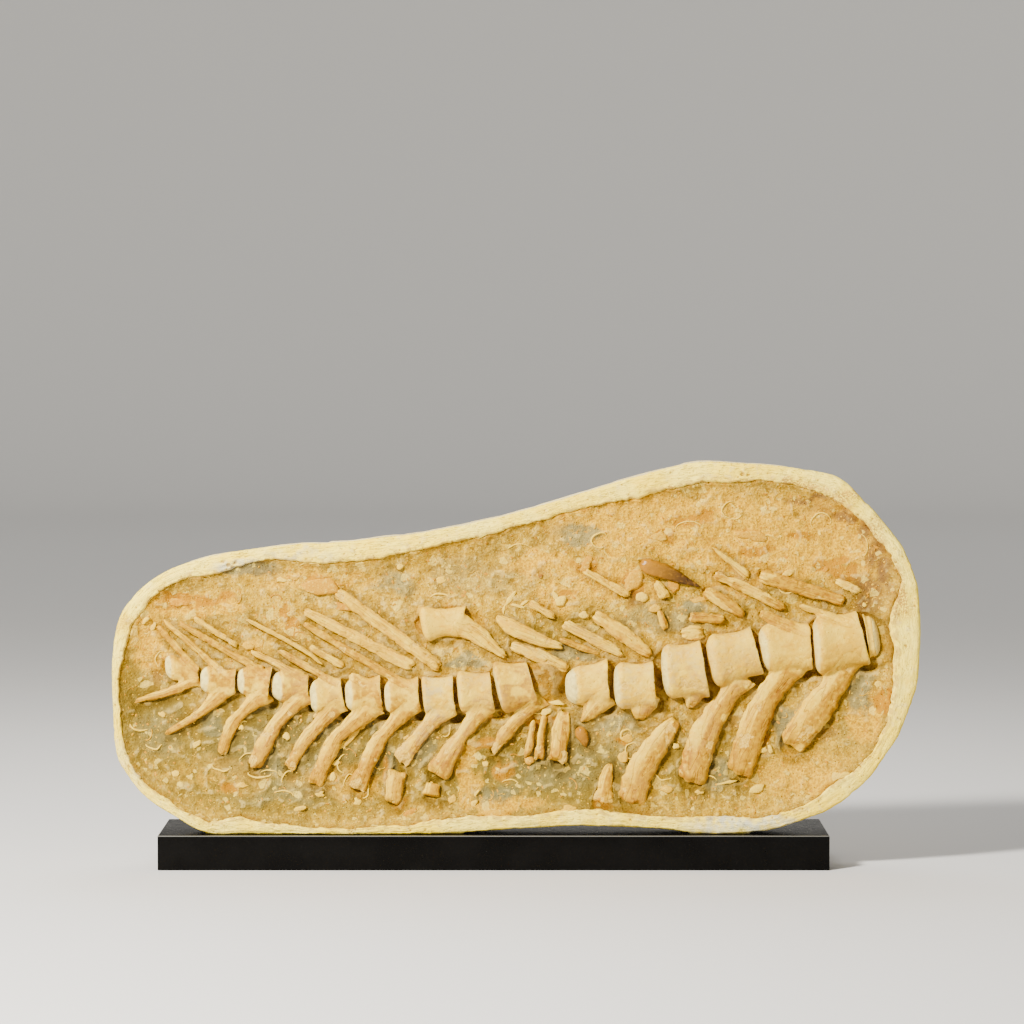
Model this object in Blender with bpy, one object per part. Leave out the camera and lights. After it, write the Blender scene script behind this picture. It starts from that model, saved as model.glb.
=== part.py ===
"""Fossil mosasaur tail section in its plaster field jacket, on a low display stand.

A run of tail vertebrae lies in sandy rock inside a cream plaster jacket. Loose neural spines,
broken haemal plates, a fish fang and a small tooth lie round it. The jacket stands on its long
edge on a black rectangular stand. Metres, +Z up, the slab's face towards -Y.

The slab is drawn on its own face, in millimetres: u to the right, v up from the top of the stand,
and depth back from the face of the plaster rim.
"""

import math
import random
from collections import namedtuple

import bmesh
import bpy
from mathutils import Vector, noise
from mathutils.geometry import delaunay_2d_cdt, tessellate_polygon

MM = 0.001
GAP = 0.3
CURVE_STEPS = 2

STAND_LEFT = 57.0
STAND_RIGHT = 730.0
STAND_DEPTH = 134.0
STAND_HEIGHT = 35.0
STAND_BEVEL = 1.1
STAND_LEDGE = 10.0

JACKET_DEPTH = 84.0
RECESS_DEPTH = 62.0
FOOT_BAND = 1.3
FOOT_OFFSET = 8.0

ROCK_EDGE_DEPTH = 7.0
ROCK_LEVEL_TAIL = 13.0
ROCK_LEVEL_BODY = 17.0
ROCK_LEVEL_START = 200.0
ROCK_LEVEL_RUN = 400.0
ROCK_EDGE_BLEND = 16.0
ROCK_ROUGHNESS = 1.3
ROCK_GRAIN = 38.0
ROCK_LAYER = 0.5

# The rock's face is drawn with points in rows, each a little out of its place.
ROCK_CELL = 16.0
ROCK_ROW = ROCK_CELL * math.sqrt(3) / 2
ROCK_JITTER = 2.0
ROCK_MARGIN = 0.6 * ROCK_CELL
ROCK_SEED = 7
ROCK_REACH_U = 820.0
ROCK_REACH_V = 380.0

CENTRUM_SIDES = 12
CENTRUM_BULGE = 0.74
CENTRUM_SINK = 1.5
BALL_TIP = 0.42
JOINT_SINK = 5.0

BAR_SIDES = 8
BAR_SINK = -0.8
BAR_TIP_WIDTH = 0.55
BAR_TIP_SHARE = 0.25
BAR_TIP_MOST = 3.0

# The jacket's outer edge, clockwise from the lower left: u, v and the width of the rim there.
JACKET_EDGE = (
    (105, 1.0, 14), (75, 17, 10), (45, 37, 11), (25, 61, 12), (14, 86, 11), (11, 156, 8),
    (12, 186, 13), (18, 216, 17), (30, 236, 18), (50, 255, 15), (80, 271, 17), (120, 282, 19),
    (160, 288, 13), (200, 292.5, 20), (240, 294, 22), (280, 298.5, 22), (320, 303, 17),
    (400, 319.5, 16), (480, 342.5, 17), (520, 355, 21), (560, 366, 23), (600, 374.5, 23),
    (640, 373, 20), (680, 370, 17), (720, 364, 22), (741, 357, 25), (765, 336, 18),
    (788, 309, 17), (806, 284, 15), (817, 256, 18), (821, 216, 32), (820.5, 176, 27),
    (815, 136, 24), (797, 94, 16), (770, 56, 17), (740, 30, 20), (710, 16, 15), (675, 5, 15),
    (640, 0.6, 17), (600, 0.6, 17.5), (560, 5, 15), (520, 7, 14), (480, 8, 17), (440, 6.5, 14.5),
    (400, 4, 16), (355, 1, 17), (300, 0, 9), (220, 0, 7.5), (180, 0, 11), (140, 0, 17),
)

# The jacket's section, from the recess floor round the rim to the back: how far in from the outer
# edge, as a share of the rim's width and as millimetres, and the depth.
JACKET_SECTION = (
    (1.0, 0.0, RECESS_DEPTH), (1.0, 0.0, 3.0), (1.0, -2.0, 0.6), (0.5, 0.0, -0.6),
    (0.0, 2.0, 1.0), (0.0, 0.0, 4.5), (0.0, 0.4, 40.0), (0.0, 5.0, 68.0),
    (0.0, 16.0, 79.0), (0.0, 42.0, JACKET_DEPTH),
)

# Broad swells and hollows of the rock's face: centre u, v, reach along u and v, and rise.
ROCK_SWELLS = (
    (520, 310, 110, 45, 5.0), (640, 320, 90, 40, 4.0), (330, 245, 60, 30, -2.0),
    (160, 245, 90, 25, 2.0), (250, 40, 160, 30, 3.0), (640, 45, 110, 25, 3.0),
    (450, 60, 60, 35, 1.5), (770, 250, 40, 60, 2.5), (445, 150, 30, 25, -3.0),
)

# One vertebra: the four corners of its side view, tail end first and top first, how far its ball
# stands out at the tail end, and its neural spine and haemal arch as rows of u, v and width.
Vertebra = namedtuple("Vertebra", "tail_top tail_low body_top body_low ball spine arch")

VERTEBRAE = (
    Vertebra((71, 180), (71, 154), (99, 169), (97.5, 148), 8,
             ((90, 170, 7), (70, 193, 7), (56, 209, 5)),
             ((90, 152, 10), (62, 141, 9), (30, 132, 5))),
    Vertebra((108, 169), (108, 140), (136, 166), (135, 139), 9,
             ((120, 163, 8), (95, 186, 7), (63, 214, 5)),
             ((122, 145, 17), (108, 130, 12), (94, 118, 10), (64, 100, 6))),
    Vertebra((144, 167), (144, 138), (172, 168), (167, 132), 8,
             ((155, 167, 8), (125, 184, 7), (78, 212, 5)),
             ((158, 138, 19), (142, 123, 12), (130, 108, 12), (120, 80, 11))),
    Vertebra((181, 164), (183, 131), (209, 160), (208, 134), 12,
             ((196, 160, 9), (172, 173, 8), (150, 183, 6)),
             ((199, 137, 20), (184, 120, 14), (172, 105, 14), (152, 66, 18))),
    Vertebra((216, 156), (218, 120), (241, 158), (245, 125), 8,
             ((231, 154, 8), (200, 171, 7), (178, 185, 5)),
             ((232, 127, 20), (217, 109, 13), (205, 95, 13), (187, 65, 12))),
    Vertebra((252, 157), (254, 122), (280, 160), (283, 124), 9,
             ((259, 153, 12), (251, 160, 8)),
             ((268, 126, 22), (246, 105, 14), (233, 92, 15), (214, 49, 17))),
    Vertebra((290, 155), (291, 120), (318, 158), (321, 123), 7,
             ((301, 152, 9), (248, 183.5, 8), (203, 211, 6)),
             ((306, 126, 20), (286, 103, 14), (275, 88, 17), (256, 46, 19))),
    Vertebra((322, 158), (326, 120), (353, 159), (356, 121), 2, (),
             ((341, 124, 22), (320, 99, 14), (307, 83, 17), (299, 72.5, 19))),
    Vertebra((359, 164), (363, 121), (390, 162), (396, 122), 4, (),
             ((380, 124, 22), (362, 99, 15), (352, 85, 19), (336, 59, 24))),
    Vertebra((394, 173), (406, 120), (427, 172), (441, 128), 4, (),
             ((436, 131, 14), (415, 112, 14), (403, 97, 13), (392, 81, 9))),
    Vertebra((477, 168), (480, 128), (508, 176), (511, 131), 13, (),
             ((501, 133, 16), (490, 121, 12), (484, 117, 10))),
    Vertebra((520, 172), (522, 124), (554, 173), (559, 125), 7, (),
             ((542, 130, 18), (540, 111, 13))),
    Vertebra((567, 190), (572, 135), (601, 194), (612, 136), 7, (),
             ((596, 142, 24), (590, 125, 14))),
    Vertebra((612, 200), (622, 146), (652, 207), (666, 160), 8, (),
             ((634, 152, 24), (612, 124, 16), (598, 94, 24), (587, 46, 27))),
    Vertebra((666, 210), (674, 160), (711, 212), (715, 164), 9,
             ((700, 205, 13), (680, 213, 12), (661, 222, 10)),
             ((690, 166, 30), (667, 133, 22), (652, 101, 30), (636, 59, 20))),
    Vertebra((720, 220), (724, 158), (758, 224), (773, 170), 8,
             ((744, 214, 11), (722, 222, 9), (701, 229.5, 7)),
             ((748, 170, 26), (727, 136, 26), (710, 115, 28), (688, 86, 17))),
    Vertebra((766, 222), (776, 176), (772, 220), (780, 179), 3, (), ()),
)

# The tail in lengths, each the vertebrae from one place in the row up to another.
TAIL_LENGTHS = (
    ("tail_tip", 0, 4), ("tail_rear", 4, 7), ("tail_middle", 7, 10),
    ("tail_fore", 10, 12), ("tail_root_rear", 12, 15), ("tail_root_front", 15, 17),
)

# A centrum along its length: ball lengths in front of the tail end (below nought) or the share of
# the way to the body end, and the share of the full height there.
CENTRUM_PROFILE = (
    (-0.75, 0.66), (-0.25, 0.94), (0.0, 1.0), (0.16, 0.95), (0.5, 0.87), (0.86, 0.97), (1.0, 1.0),
)

# Loose bones and teeth, each a row of u, v and width from end to end.
LOOSE_BONES = {
    "loose_spine_1": ((93, 217, 6), (136, 189, 6)),
    "loose_spine_2": ((145, 216, 4.5), (200, 186, 5), (222, 169.5, 4)),
    "loose_spine_3": ((209, 188, 8), (243, 167.5, 7)),
    "loose_spine_4": ((204, 224, 9), (258, 196, 12), (311, 168, 13)),
    "loose_spine_5": ((236, 243, 11), (288, 205, 13), (338, 168, 12)),
    "loose_spine_6": ((396, 218, 8), (415, 206, 16), (440, 195, 13), (462, 188, 6)),
    "loose_spine_7": ((412, 189, 9), (430, 182, 12), (450, 174, 13), (466, 166, 9)),
    "loose_spine_8": ((430, 232, 8), (454, 218, 8)),
    "loose_spine_9": ((464, 211, 11), (495, 195, 12), (523, 180, 9)),
    "loose_spine_10": ((460, 195, 5), (482, 187, 6), (500, 180.5, 4)),
    "loose_spine_11": ((495, 220, 13), (525, 199, 15), (551, 180, 10)),
    "loose_spine_12": ((484, 265, 7), (529, 240, 9)),
    "loose_spine_13": ((590, 218, 11), (626, 215, 9)),
    "loose_spine_14": ((605, 244, 12), (628, 231, 13), (646, 219, 9)),
    "loose_spine_15": ((615, 261, 9), (650, 245, 11), (686, 226, 9)),
    "loose_spine_16": ((613, 288, 3), (632, 273, 8), (650, 258, 9)),
    "loose_spine_17": ((660, 260, 14), (705, 246, 13), (748, 233, 10)),
    "loose_spine_18": ((738, 254, 9), (761, 243, 9)),
    "bone_chip": ((560, 224, 6), (566, 206, 7)),
    "bone_wedge": ((556, 253, 8), (567, 236, 12)),
    "bone_knob": ((582, 201, 12), (593, 202, 14), (604, 202, 11)),
    "haemal_piece_1": ((297, 61.5, 17), (294, 47, 19), (293, 31, 17)),
    "haemal_piece_2": ((333, 51, 16), (330, 36, 18)),
    "haemal_piece_3": ((434, 114, 6), (431, 98, 7), (427, 76, 8)),
    "haemal_piece_4": ((445, 118, 6), (441, 98, 7), (439, 74, 10)),
    "haemal_piece_5": ((464, 122, 11), (461, 103, 16), (458, 71, 21)),
    "haemal_piece_6": ((511, 70, 5), (507, 56, 14), (503, 28, 24)),
    "haemal_piece_7": ((577, 113, 10), (562, 95, 21), (541, 62, 31), (532, 30, 26)),
    "fish_fang": ((541, 273, 10), (551, 268, 16), (570, 262, 14), (590, 253, 8), (601, 248, 2)),
    "fish_tooth": ((478, 107, 9), (482, 99, 13), (488, 87, 4)),
}

FLAT_BONES = ("haemal", "bone_chip")
DEPTH_SHARE = 0.55
FLAT_DEPTH_SHARE = 0.34
ARCH_DEPTH_SHARE = 0.42
LEAST_DEPTH = 3.4

# The displaced vertebra lies turned on its side above the run, with one process to the right.
DISPLACED = Vertebra((322, 227), (326, 193), (368, 231), (362, 196), 5,
                     ((358, 216, 18), (378, 202, 14), (392, 189, 11), (404, 180, 6)), ())

COLOURS = {
    "plaster": ((0.86, 0.78, 0.60), 0.9),
    "rock": ((0.56, 0.42, 0.20), 0.95),
    "bone": ((0.76, 0.62, 0.36), 0.7),
    "stained_bone": ((0.74, 0.48, 0.16), 0.65),
    "enamel": ((0.36, 0.17, 0.05), 0.35),
    "black_gloss": ((0.010, 0.010, 0.009), 0.18),
}

STAINED = ("loose_spine_17", "bone_knob", "haemal_piece_4", "haemal_piece_5")
TEETH = ("fish_fang", "fish_tooth")


def clear_scene():
    """Remove every object that the file opened with."""
    for thing in list(bpy.data.objects):
        bpy.data.objects.remove(thing, do_unlink=True)


def material(name):
    """A plain finish from the colour table."""
    found = bpy.data.materials.get(name)
    if found:
        return found
    colour, roughness = COLOURS[name]
    made = bpy.data.materials.new(name)
    made.use_nodes = True
    shader = made.node_tree.nodes["Principled BSDF"]
    shader.inputs["Base Color"].default_value = (*colour, 1.0)
    shader.inputs["Roughness"].default_value = roughness
    shader.inputs["Metallic"].default_value = 0.0
    return made


def add_object(name, mesh, finish):
    """Link a mesh to the scene as a named sub-part."""
    thing = bpy.data.objects.new(name, mesh)
    bpy.context.scene.collection.objects.link(thing)
    thing.data.materials.clear()
    thing.data.materials.append(material(finish))
    return thing


def spline(rows, closed):
    """Rows of numbers along a smooth curve through the given rows."""
    count = len(rows)
    spans = count if closed else count - 1
    result = []
    for span in range(spans):
        near = []
        for step in (-1, 0, 1, 2):
            place = span + step
            place = place % count if closed else min(max(place, 0), count - 1)
            near.append(rows[place])
        for part in range(CURVE_STEPS):
            t = part / CURVE_STEPS
            result.append(tuple(blend_four(a, b, c, d, t) for a, b, c, d in zip(*near)))
    if not closed:
        result.append(tuple(float(value) for value in rows[-1]))
    return result


def blend_four(a, b, c, d, t):
    """The smooth curve's value a share t of the way from b to c."""
    return 0.5 * (2 * b + (c - a) * t + (2 * a - 5 * b + 4 * c - d) * t * t
                  + (3 * b - a - 3 * c + d) * t ** 3)


def inward_normals(points):
    """The unit normal that points into the outline, at each of its points."""
    normals = []
    for place in range(len(points)):
        before = points[place - 1]
        after = points[(place + 1) % len(points)]
        run = Vector((after[0] - before[0], after[1] - before[1])).normalized()
        normals.append(Vector((run.y, -run.x)))
    return normals


EDGE = spline(JACKET_EDGE, True)
EDGE_NORMALS = inward_normals(EDGE)
CENTRE_U = (min(row[0] for row in EDGE) + max(row[0] for row in EDGE)) / 2
RIM_Y = -STAND_DEPTH / 2 + STAND_LEDGE


def on_slab(u, v, depth):
    """The place in the model, in metres, of a point drawn on the slab."""
    return Vector(((u - CENTRE_U) * MM, (RIM_Y + depth) * MM, (v + STAND_HEIGHT) * MM))


def edge_ring(share, offset, depth):
    """The jacket's outline moved in by a share of the rim's width and an offset."""
    ring = []
    for (u, v, width), normal in zip(EDGE, EDGE_NORMALS):
        move = share * width + offset
        place_u = u + normal.x * move
        place_v = v + normal.y * move
        if v < FOOT_BAND and move < FOOT_OFFSET and share == 0.0:
            place_v = GAP
        ring.append(on_slab(place_u, max(place_v, GAP), depth))
    return ring


def close_end(built, ring):
    """Close an opening with triangles that stay inside its outline."""
    for corners in tessellate_polygon([[vert.co for vert in ring]]):
        built.faces.new([ring[corner] for corner in corners])


def finish_mesh(built, name):
    """Turn the faces outwards and hand back the plain mesh."""
    bmesh.ops.recalc_face_normals(built, faces=built.faces)
    mesh = bpy.data.meshes.new(name)
    built.to_mesh(mesh)
    built.free()
    return mesh


def loft(rings, name):
    """A closed mesh through rings of points, with its ends closed."""
    built = bmesh.new()
    rows = [[built.verts.new(point) for point in ring] for ring in rings]
    count = len(rows[0])
    for low, high in zip(rows, rows[1:]):
        for place in range(count):
            after = (place + 1) % count
            built.faces.new((low[place], low[after], high[after], high[place]))
    close_end(built, rows[0])
    close_end(built, rows[-1])
    return finish_mesh(built, name)


ROCK_LINE = [
    (u + normal.x * (width + GAP), v + normal.y * (width + GAP))
    for (u, v, width), normal in zip(EDGE, EDGE_NORMALS)
]


def rim_distance(u, v):
    """How far a point on the rock's face lies from the rim."""
    best = math.inf
    place = Vector((u, v))
    for near, after in zip(ROCK_LINE, ROCK_LINE[1:] + ROCK_LINE[:1]):
        start = Vector(near)
        run = Vector(after) - start
        share = (place - start).dot(run) / run.length_squared
        share = min(max(share, 0.0), 1.0)
        best = min(best, (place - start - run * share).length)
    return best


def inside_rock(u, v):
    """Whether a point lies inside the rock's outline."""
    inside = False
    for (u1, v1), (u2, v2) in zip(ROCK_LINE, ROCK_LINE[1:] + ROCK_LINE[:1]):
        if (v1 > v) != (v2 > v) and u < (u2 - u1) * (v - v1) / (v2 - v1) + u1:
            inside = not inside
    return inside


def ground(u, v):
    """The depth of the rock's face, without its small unevenness."""
    share = min(max((u - ROCK_LEVEL_START) / ROCK_LEVEL_RUN, 0.0), 1.0)
    depth = ROCK_LEVEL_TAIL + (ROCK_LEVEL_BODY - ROCK_LEVEL_TAIL) * share
    for centre_u, centre_v, reach_u, reach_v, rise in ROCK_SWELLS:
        far = ((u - centre_u) / reach_u) ** 2 + ((v - centre_v) / reach_v) ** 2
        depth -= rise * math.exp(-far)
    return depth


def rock_face(u, v):
    """The depth of the rock's face, rising to the rim and slightly uneven."""
    near = math.exp(-rim_distance(u, v) / ROCK_EDGE_BLEND)
    rough = ROCK_ROUGHNESS * noise.noise(Vector((u / ROCK_GRAIN, v / ROCK_GRAIN, ROCK_LAYER)))
    return ground(u, v) * (1 - near) + ROCK_EDGE_DEPTH * near + rough * (1 - near)


def rock_points():
    """Points spread over the rock's face, clear of its edge."""
    draw = random.Random(ROCK_SEED)
    points = []
    for row in range(int(ROCK_REACH_V / ROCK_ROW)):
        for column in range(int(ROCK_REACH_U / ROCK_CELL)):
            u = (column + 0.5 * (row % 2)) * ROCK_CELL + draw.uniform(-ROCK_JITTER, ROCK_JITTER)
            v = row * ROCK_ROW + draw.uniform(-ROCK_JITTER, ROCK_JITTER)
            if inside_rock(u, v) and rim_distance(u, v) > ROCK_MARGIN:
                points.append((u, v))
    return points


def make_rock(name, lift):
    """The block of rock in the jacket, its face brought forward by lift."""
    points = ROCK_LINE + rock_points()
    edges = [(place, (place + 1) % len(ROCK_LINE)) for place in range(len(ROCK_LINE))]
    flat, _, faces, *_ = delaunay_2d_cdt([Vector(point) for point in points], edges, [], 1, 1e-5)
    built = bmesh.new()
    front = [built.verts.new(on_slab(u, v, rock_face(u, v) - lift)) for u, v in flat]
    for face in faces:
        built.faces.new([front[corner] for corner in face])
    rim = [built.verts.new(on_slab(u, v, RECESS_DEPTH - GAP)) for u, v in flat[:len(ROCK_LINE)]]
    for place, after in edges:
        built.faces.new((front[place], front[after], rim[after], rim[place]))
    close_end(built, rim)
    return finish_mesh(built, name)


def make_stand():
    """The stand: a flat rectangular block with its edges just broken."""
    built = bmesh.new()
    bmesh.ops.create_cube(built, size=1.0)
    for vert in built.verts:
        vert.co.x *= (STAND_RIGHT - STAND_LEFT) * MM
        vert.co.y *= STAND_DEPTH * MM
        vert.co.z *= STAND_HEIGHT * MM
        vert.co.x += ((STAND_RIGHT + STAND_LEFT) / 2 - CENTRE_U) * MM
        vert.co.z += STAND_HEIGHT * MM / 2
    bmesh.ops.bevel(built, geom=built.edges[:], offset=STAND_BEVEL * MM, segments=2,
                    profile=0.5, affect="EDGES")
    mesh = bpy.data.meshes.new("stand_base")
    built.to_mesh(mesh)
    built.free()
    add_object("stand_base", mesh, "black_gloss")


def section_ring(centre, across, half_width, half_depth, depth, sides):
    """An oval ring round a bone: across it on the slab's face, and into the slab."""
    ring = []
    for side in range(sides):
        angle = 2 * math.pi * (side + 0.5) / sides
        reach = across * (half_width * math.cos(angle))
        ring.append(on_slab(centre.x + reach.x, centre.y + reach.y,
                            depth - half_depth * math.sin(angle)))
    return ring


def bar_mesh(rows, depth_share, name):
    """A long bone along a smooth path, with rounded ends."""
    path = spline(rows, False)
    rings = []
    for place, (u, v, width) in enumerate(path):
        before = path[max(place - 1, 0)]
        after = path[min(place + 1, len(path) - 1)]
        run = Vector((after[0] - before[0], after[1] - before[1])).normalized()
        across = Vector((-run.y, run.x))
        half_depth = max(width * depth_share, LEAST_DEPTH)
        depth = ground(u, v) + BAR_SINK
        centre = Vector((u, v))
        ring = section_ring(centre, across, width / 2, half_depth, depth, BAR_SIDES)
        end = min(width * BAR_TIP_SHARE, BAR_TIP_MOST)
        if place in (0, len(path) - 1):
            way = -1 if place == 0 else 1
            tip = section_ring(centre + run * end * way, across, width / 2 * BAR_TIP_WIDTH,
                               half_depth * BAR_TIP_WIDTH, depth, BAR_SIDES)
            rings.extend([tip, ring] if place == 0 else [ring, tip])
        else:
            rings.append(ring)
    return loft(rings, name)


def centrum_mesh(bone, sunk, name):
    """A vertebra's body: a waisted spool with a ball at the tail end."""
    tail_mid = (Vector(bone.tail_top) + Vector(bone.tail_low)) / 2
    body_mid = (Vector(bone.body_top) + Vector(bone.body_low)) / 2
    run = (body_mid - tail_mid).normalized()
    reach = bone.ball + (JOINT_SINK if sunk else 0.0)
    profile = ((-reach / bone.ball, BALL_TIP),) + CENTRUM_PROFILE
    rings = []
    for place, share in profile:
        along = max(place, 0.0)
        top = Vector(bone.tail_top).lerp(Vector(bone.body_top), along)
        low = Vector(bone.tail_low).lerp(Vector(bone.body_low), along)
        centre = (top + low) / 2
        if place < 0:
            centre = centre + run * place * bone.ball
        half = (top - low) / 2 * share
        depth = ground(centre.x, centre.y) + CENTRUM_SINK
        rings.append(section_ring(centre, half.normalized(), half.length,
                                  half.length * CENTRUM_BULGE, depth, CENTRUM_SIDES))
    return loft(rings, name)


def vertebra_meshes(bone, sunk, name):
    """The separate closed shapes that make up one vertebra."""
    shapes = [centrum_mesh(bone, sunk, name)]
    if bone.spine:
        shapes.append(bar_mesh(bone.spine, DEPTH_SHARE, name))
    if bone.arch:
        shapes.append(bar_mesh(bone.arch, ARCH_DEPTH_SHARE, name))
    return shapes


def keep_largest(mesh):
    """Drop all but the largest closed surface of a mesh."""
    built = bmesh.new()
    built.from_mesh(mesh)
    left = set(built.verts)
    best = set()
    while left:
        start = left.pop()
        island = {start}
        queue = [start]
        while queue:
            for edge in queue.pop().link_edges:
                for vert in edge.verts:
                    if vert not in island:
                        island.add(vert)
                        queue.append(vert)
        left -= island
        if len(island) > len(best):
            best = island
    bmesh.ops.delete(built, geom=[vert for vert in built.verts if vert not in best])
    bmesh.ops.triangulate(built, faces=built.faces[:])
    built.to_mesh(mesh)
    built.free()
    return mesh


def apply_boolean(thing, operation, collection=None, cutter=None):
    """Fuse a collection into an object, or cut a cutter from it, and keep the result's mesh."""
    modifier = thing.modifiers.new("join", "BOOLEAN")
    modifier.operation = operation
    modifier.solver = "EXACT"
    if collection:
        modifier.operand_type = "COLLECTION"
        modifier.collection = collection
    else:
        modifier.object = cutter
    graph = bpy.context.evaluated_depsgraph_get()
    mesh = bpy.data.meshes.new_from_object(thing.evaluated_get(graph))
    thing.modifiers.remove(modifier)
    thing.data = keep_largest(mesh)


def fuse(name, shapes, finish):
    """One closed body from several closed shapes that run into each other."""
    thing = add_object(name, shapes[0], finish)
    if len(shapes) > 1:
        collection = bpy.data.collections.new(name + "_pieces")
        bpy.context.scene.collection.children.link(collection)
        for place, shape in enumerate(shapes[1:]):
            collection.objects.link(bpy.data.objects.new(f"{name}_piece_{place}", shape))
        apply_boolean(thing, "UNION", collection=collection)
        for piece in list(collection.objects):
            bpy.data.objects.remove(piece, do_unlink=True)
        bpy.data.collections.remove(collection)
    return thing


def seat(thing, bed):
    """Cut a bone's underside to the rock it lies in, a little clear of it."""
    apply_boolean(thing, "DIFFERENCE", cutter=bed)


def make_tail(bed):
    """The run of vertebrae, in lengths."""
    for name, first, last in TAIL_LENGTHS:
        shapes = []
        for place in range(first, last):
            shapes.extend(vertebra_meshes(VERTEBRAE[place], place > first, name))
        seat(fuse(name, shapes, "bone"), bed)


def make_loose_bones(bed):
    """The bones and teeth that lie apart from the run."""
    for name, rows in LOOSE_BONES.items():
        share = FLAT_DEPTH_SHARE if name.startswith(FLAT_BONES) else DEPTH_SHARE
        finish = "bone"
        if name in STAINED:
            finish = "stained_bone"
        if name in TEETH:
            finish = "enamel"
        seat(add_object(name, bar_mesh(rows, share, name), finish), bed)
    shapes = vertebra_meshes(DISPLACED, False, "displaced_vertebra")
    seat(fuse("displaced_vertebra", shapes, "bone"), bed)


def build():
    """The whole mounted slab."""
    clear_scene()
    make_stand()
    rings = [edge_ring(share, offset, depth) for share, offset, depth in JACKET_SECTION]
    add_object("plaster_jacket", loft(rings, "plaster_jacket"), "plaster")
    add_object("matrix", make_rock("matrix", 0.0), "rock")
    bed = add_object("bed_cutter", make_rock("bed_cutter", GAP), "rock")
    bed.hide_render = True
    bed.display_type = "WIRE"
    make_tail(bed)
    make_loose_bones(bed)


build()
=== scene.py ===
"""Fossil mosasaur tail section in a plaster field jacket, on its display stand.

The slab is drawn on its own face, in millimetres: u to the right, v up from the top of the stand,
and depth back from the face of the plaster rim. Each section builds one piece or group of like
pieces, in the order in which the specimen came together: bones, rock, shells, jacket and stand.
"""

import itertools
import math
import random
from collections import namedtuple

import bmesh
import bpy
import numpy as np
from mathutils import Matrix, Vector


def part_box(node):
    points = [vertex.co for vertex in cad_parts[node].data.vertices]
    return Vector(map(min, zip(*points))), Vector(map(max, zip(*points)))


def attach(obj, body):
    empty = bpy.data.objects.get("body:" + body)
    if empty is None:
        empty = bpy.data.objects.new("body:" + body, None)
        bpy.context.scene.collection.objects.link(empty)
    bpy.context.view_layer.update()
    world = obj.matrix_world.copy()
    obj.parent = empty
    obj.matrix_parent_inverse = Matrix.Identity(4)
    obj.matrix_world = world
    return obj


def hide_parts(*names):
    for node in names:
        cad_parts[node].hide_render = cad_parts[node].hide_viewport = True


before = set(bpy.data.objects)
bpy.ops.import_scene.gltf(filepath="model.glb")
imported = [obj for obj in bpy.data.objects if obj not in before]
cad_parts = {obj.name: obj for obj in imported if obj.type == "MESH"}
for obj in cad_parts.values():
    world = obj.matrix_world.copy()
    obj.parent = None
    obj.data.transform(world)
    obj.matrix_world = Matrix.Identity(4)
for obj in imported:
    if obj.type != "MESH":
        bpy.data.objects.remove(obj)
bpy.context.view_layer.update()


# The tail's vertebrae are fossil bone, stained cream to orange by the rock. Each has a waisted
# body with a white ball at its tail end that sits in the cup of the next, a thin neural spine
# above and a haemal arch below. They lie half sunk in the rock and were cleaned from one side.

MM = 0.001
STAND_MIDDLE_U = 393.5
STAND_LEDGE = 10.0
stand_low, stand_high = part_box("stand_base")
SLAB_ORIGIN = np.array((
    (stand_low[0] + stand_high[0]) / 2 - STAND_MIDDLE_U * MM,
    stand_low[1] + STAND_LEDGE * MM,
    stand_high[2],
))

ROCK_LEVEL_TAIL = 13.0
ROCK_LEVEL_BODY = 17.0
ROCK_LEVEL_START = 200.0
ROCK_LEVEL_RUN = 400.0
ROCK_SWELLS = (
    (520, 310, 110, 45, 5.0), (640, 320, 90, 40, 4.0), (330, 245, 60, 30, -2.0),
    (160, 245, 90, 25, 2.0), (250, 40, 160, 30, 3.0), (640, 45, 110, 25, 3.0),
    (450, 60, 60, 35, 1.5), (770, 250, 40, 60, 2.5), (445, 150, 30, 25, -3.0),
)

# One vertebra: the four corners of its side view, tail end first and top first, how far its ball
# stands out, its neural spine and haemal arch as rows of u, v and width, and how far its body and
# its processes are stained amber, the whole of it grey and its ball white.
Vertebra = namedtuple("Vertebra", "tail_top tail_low body_top body_low ball spine arch stain")

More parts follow.
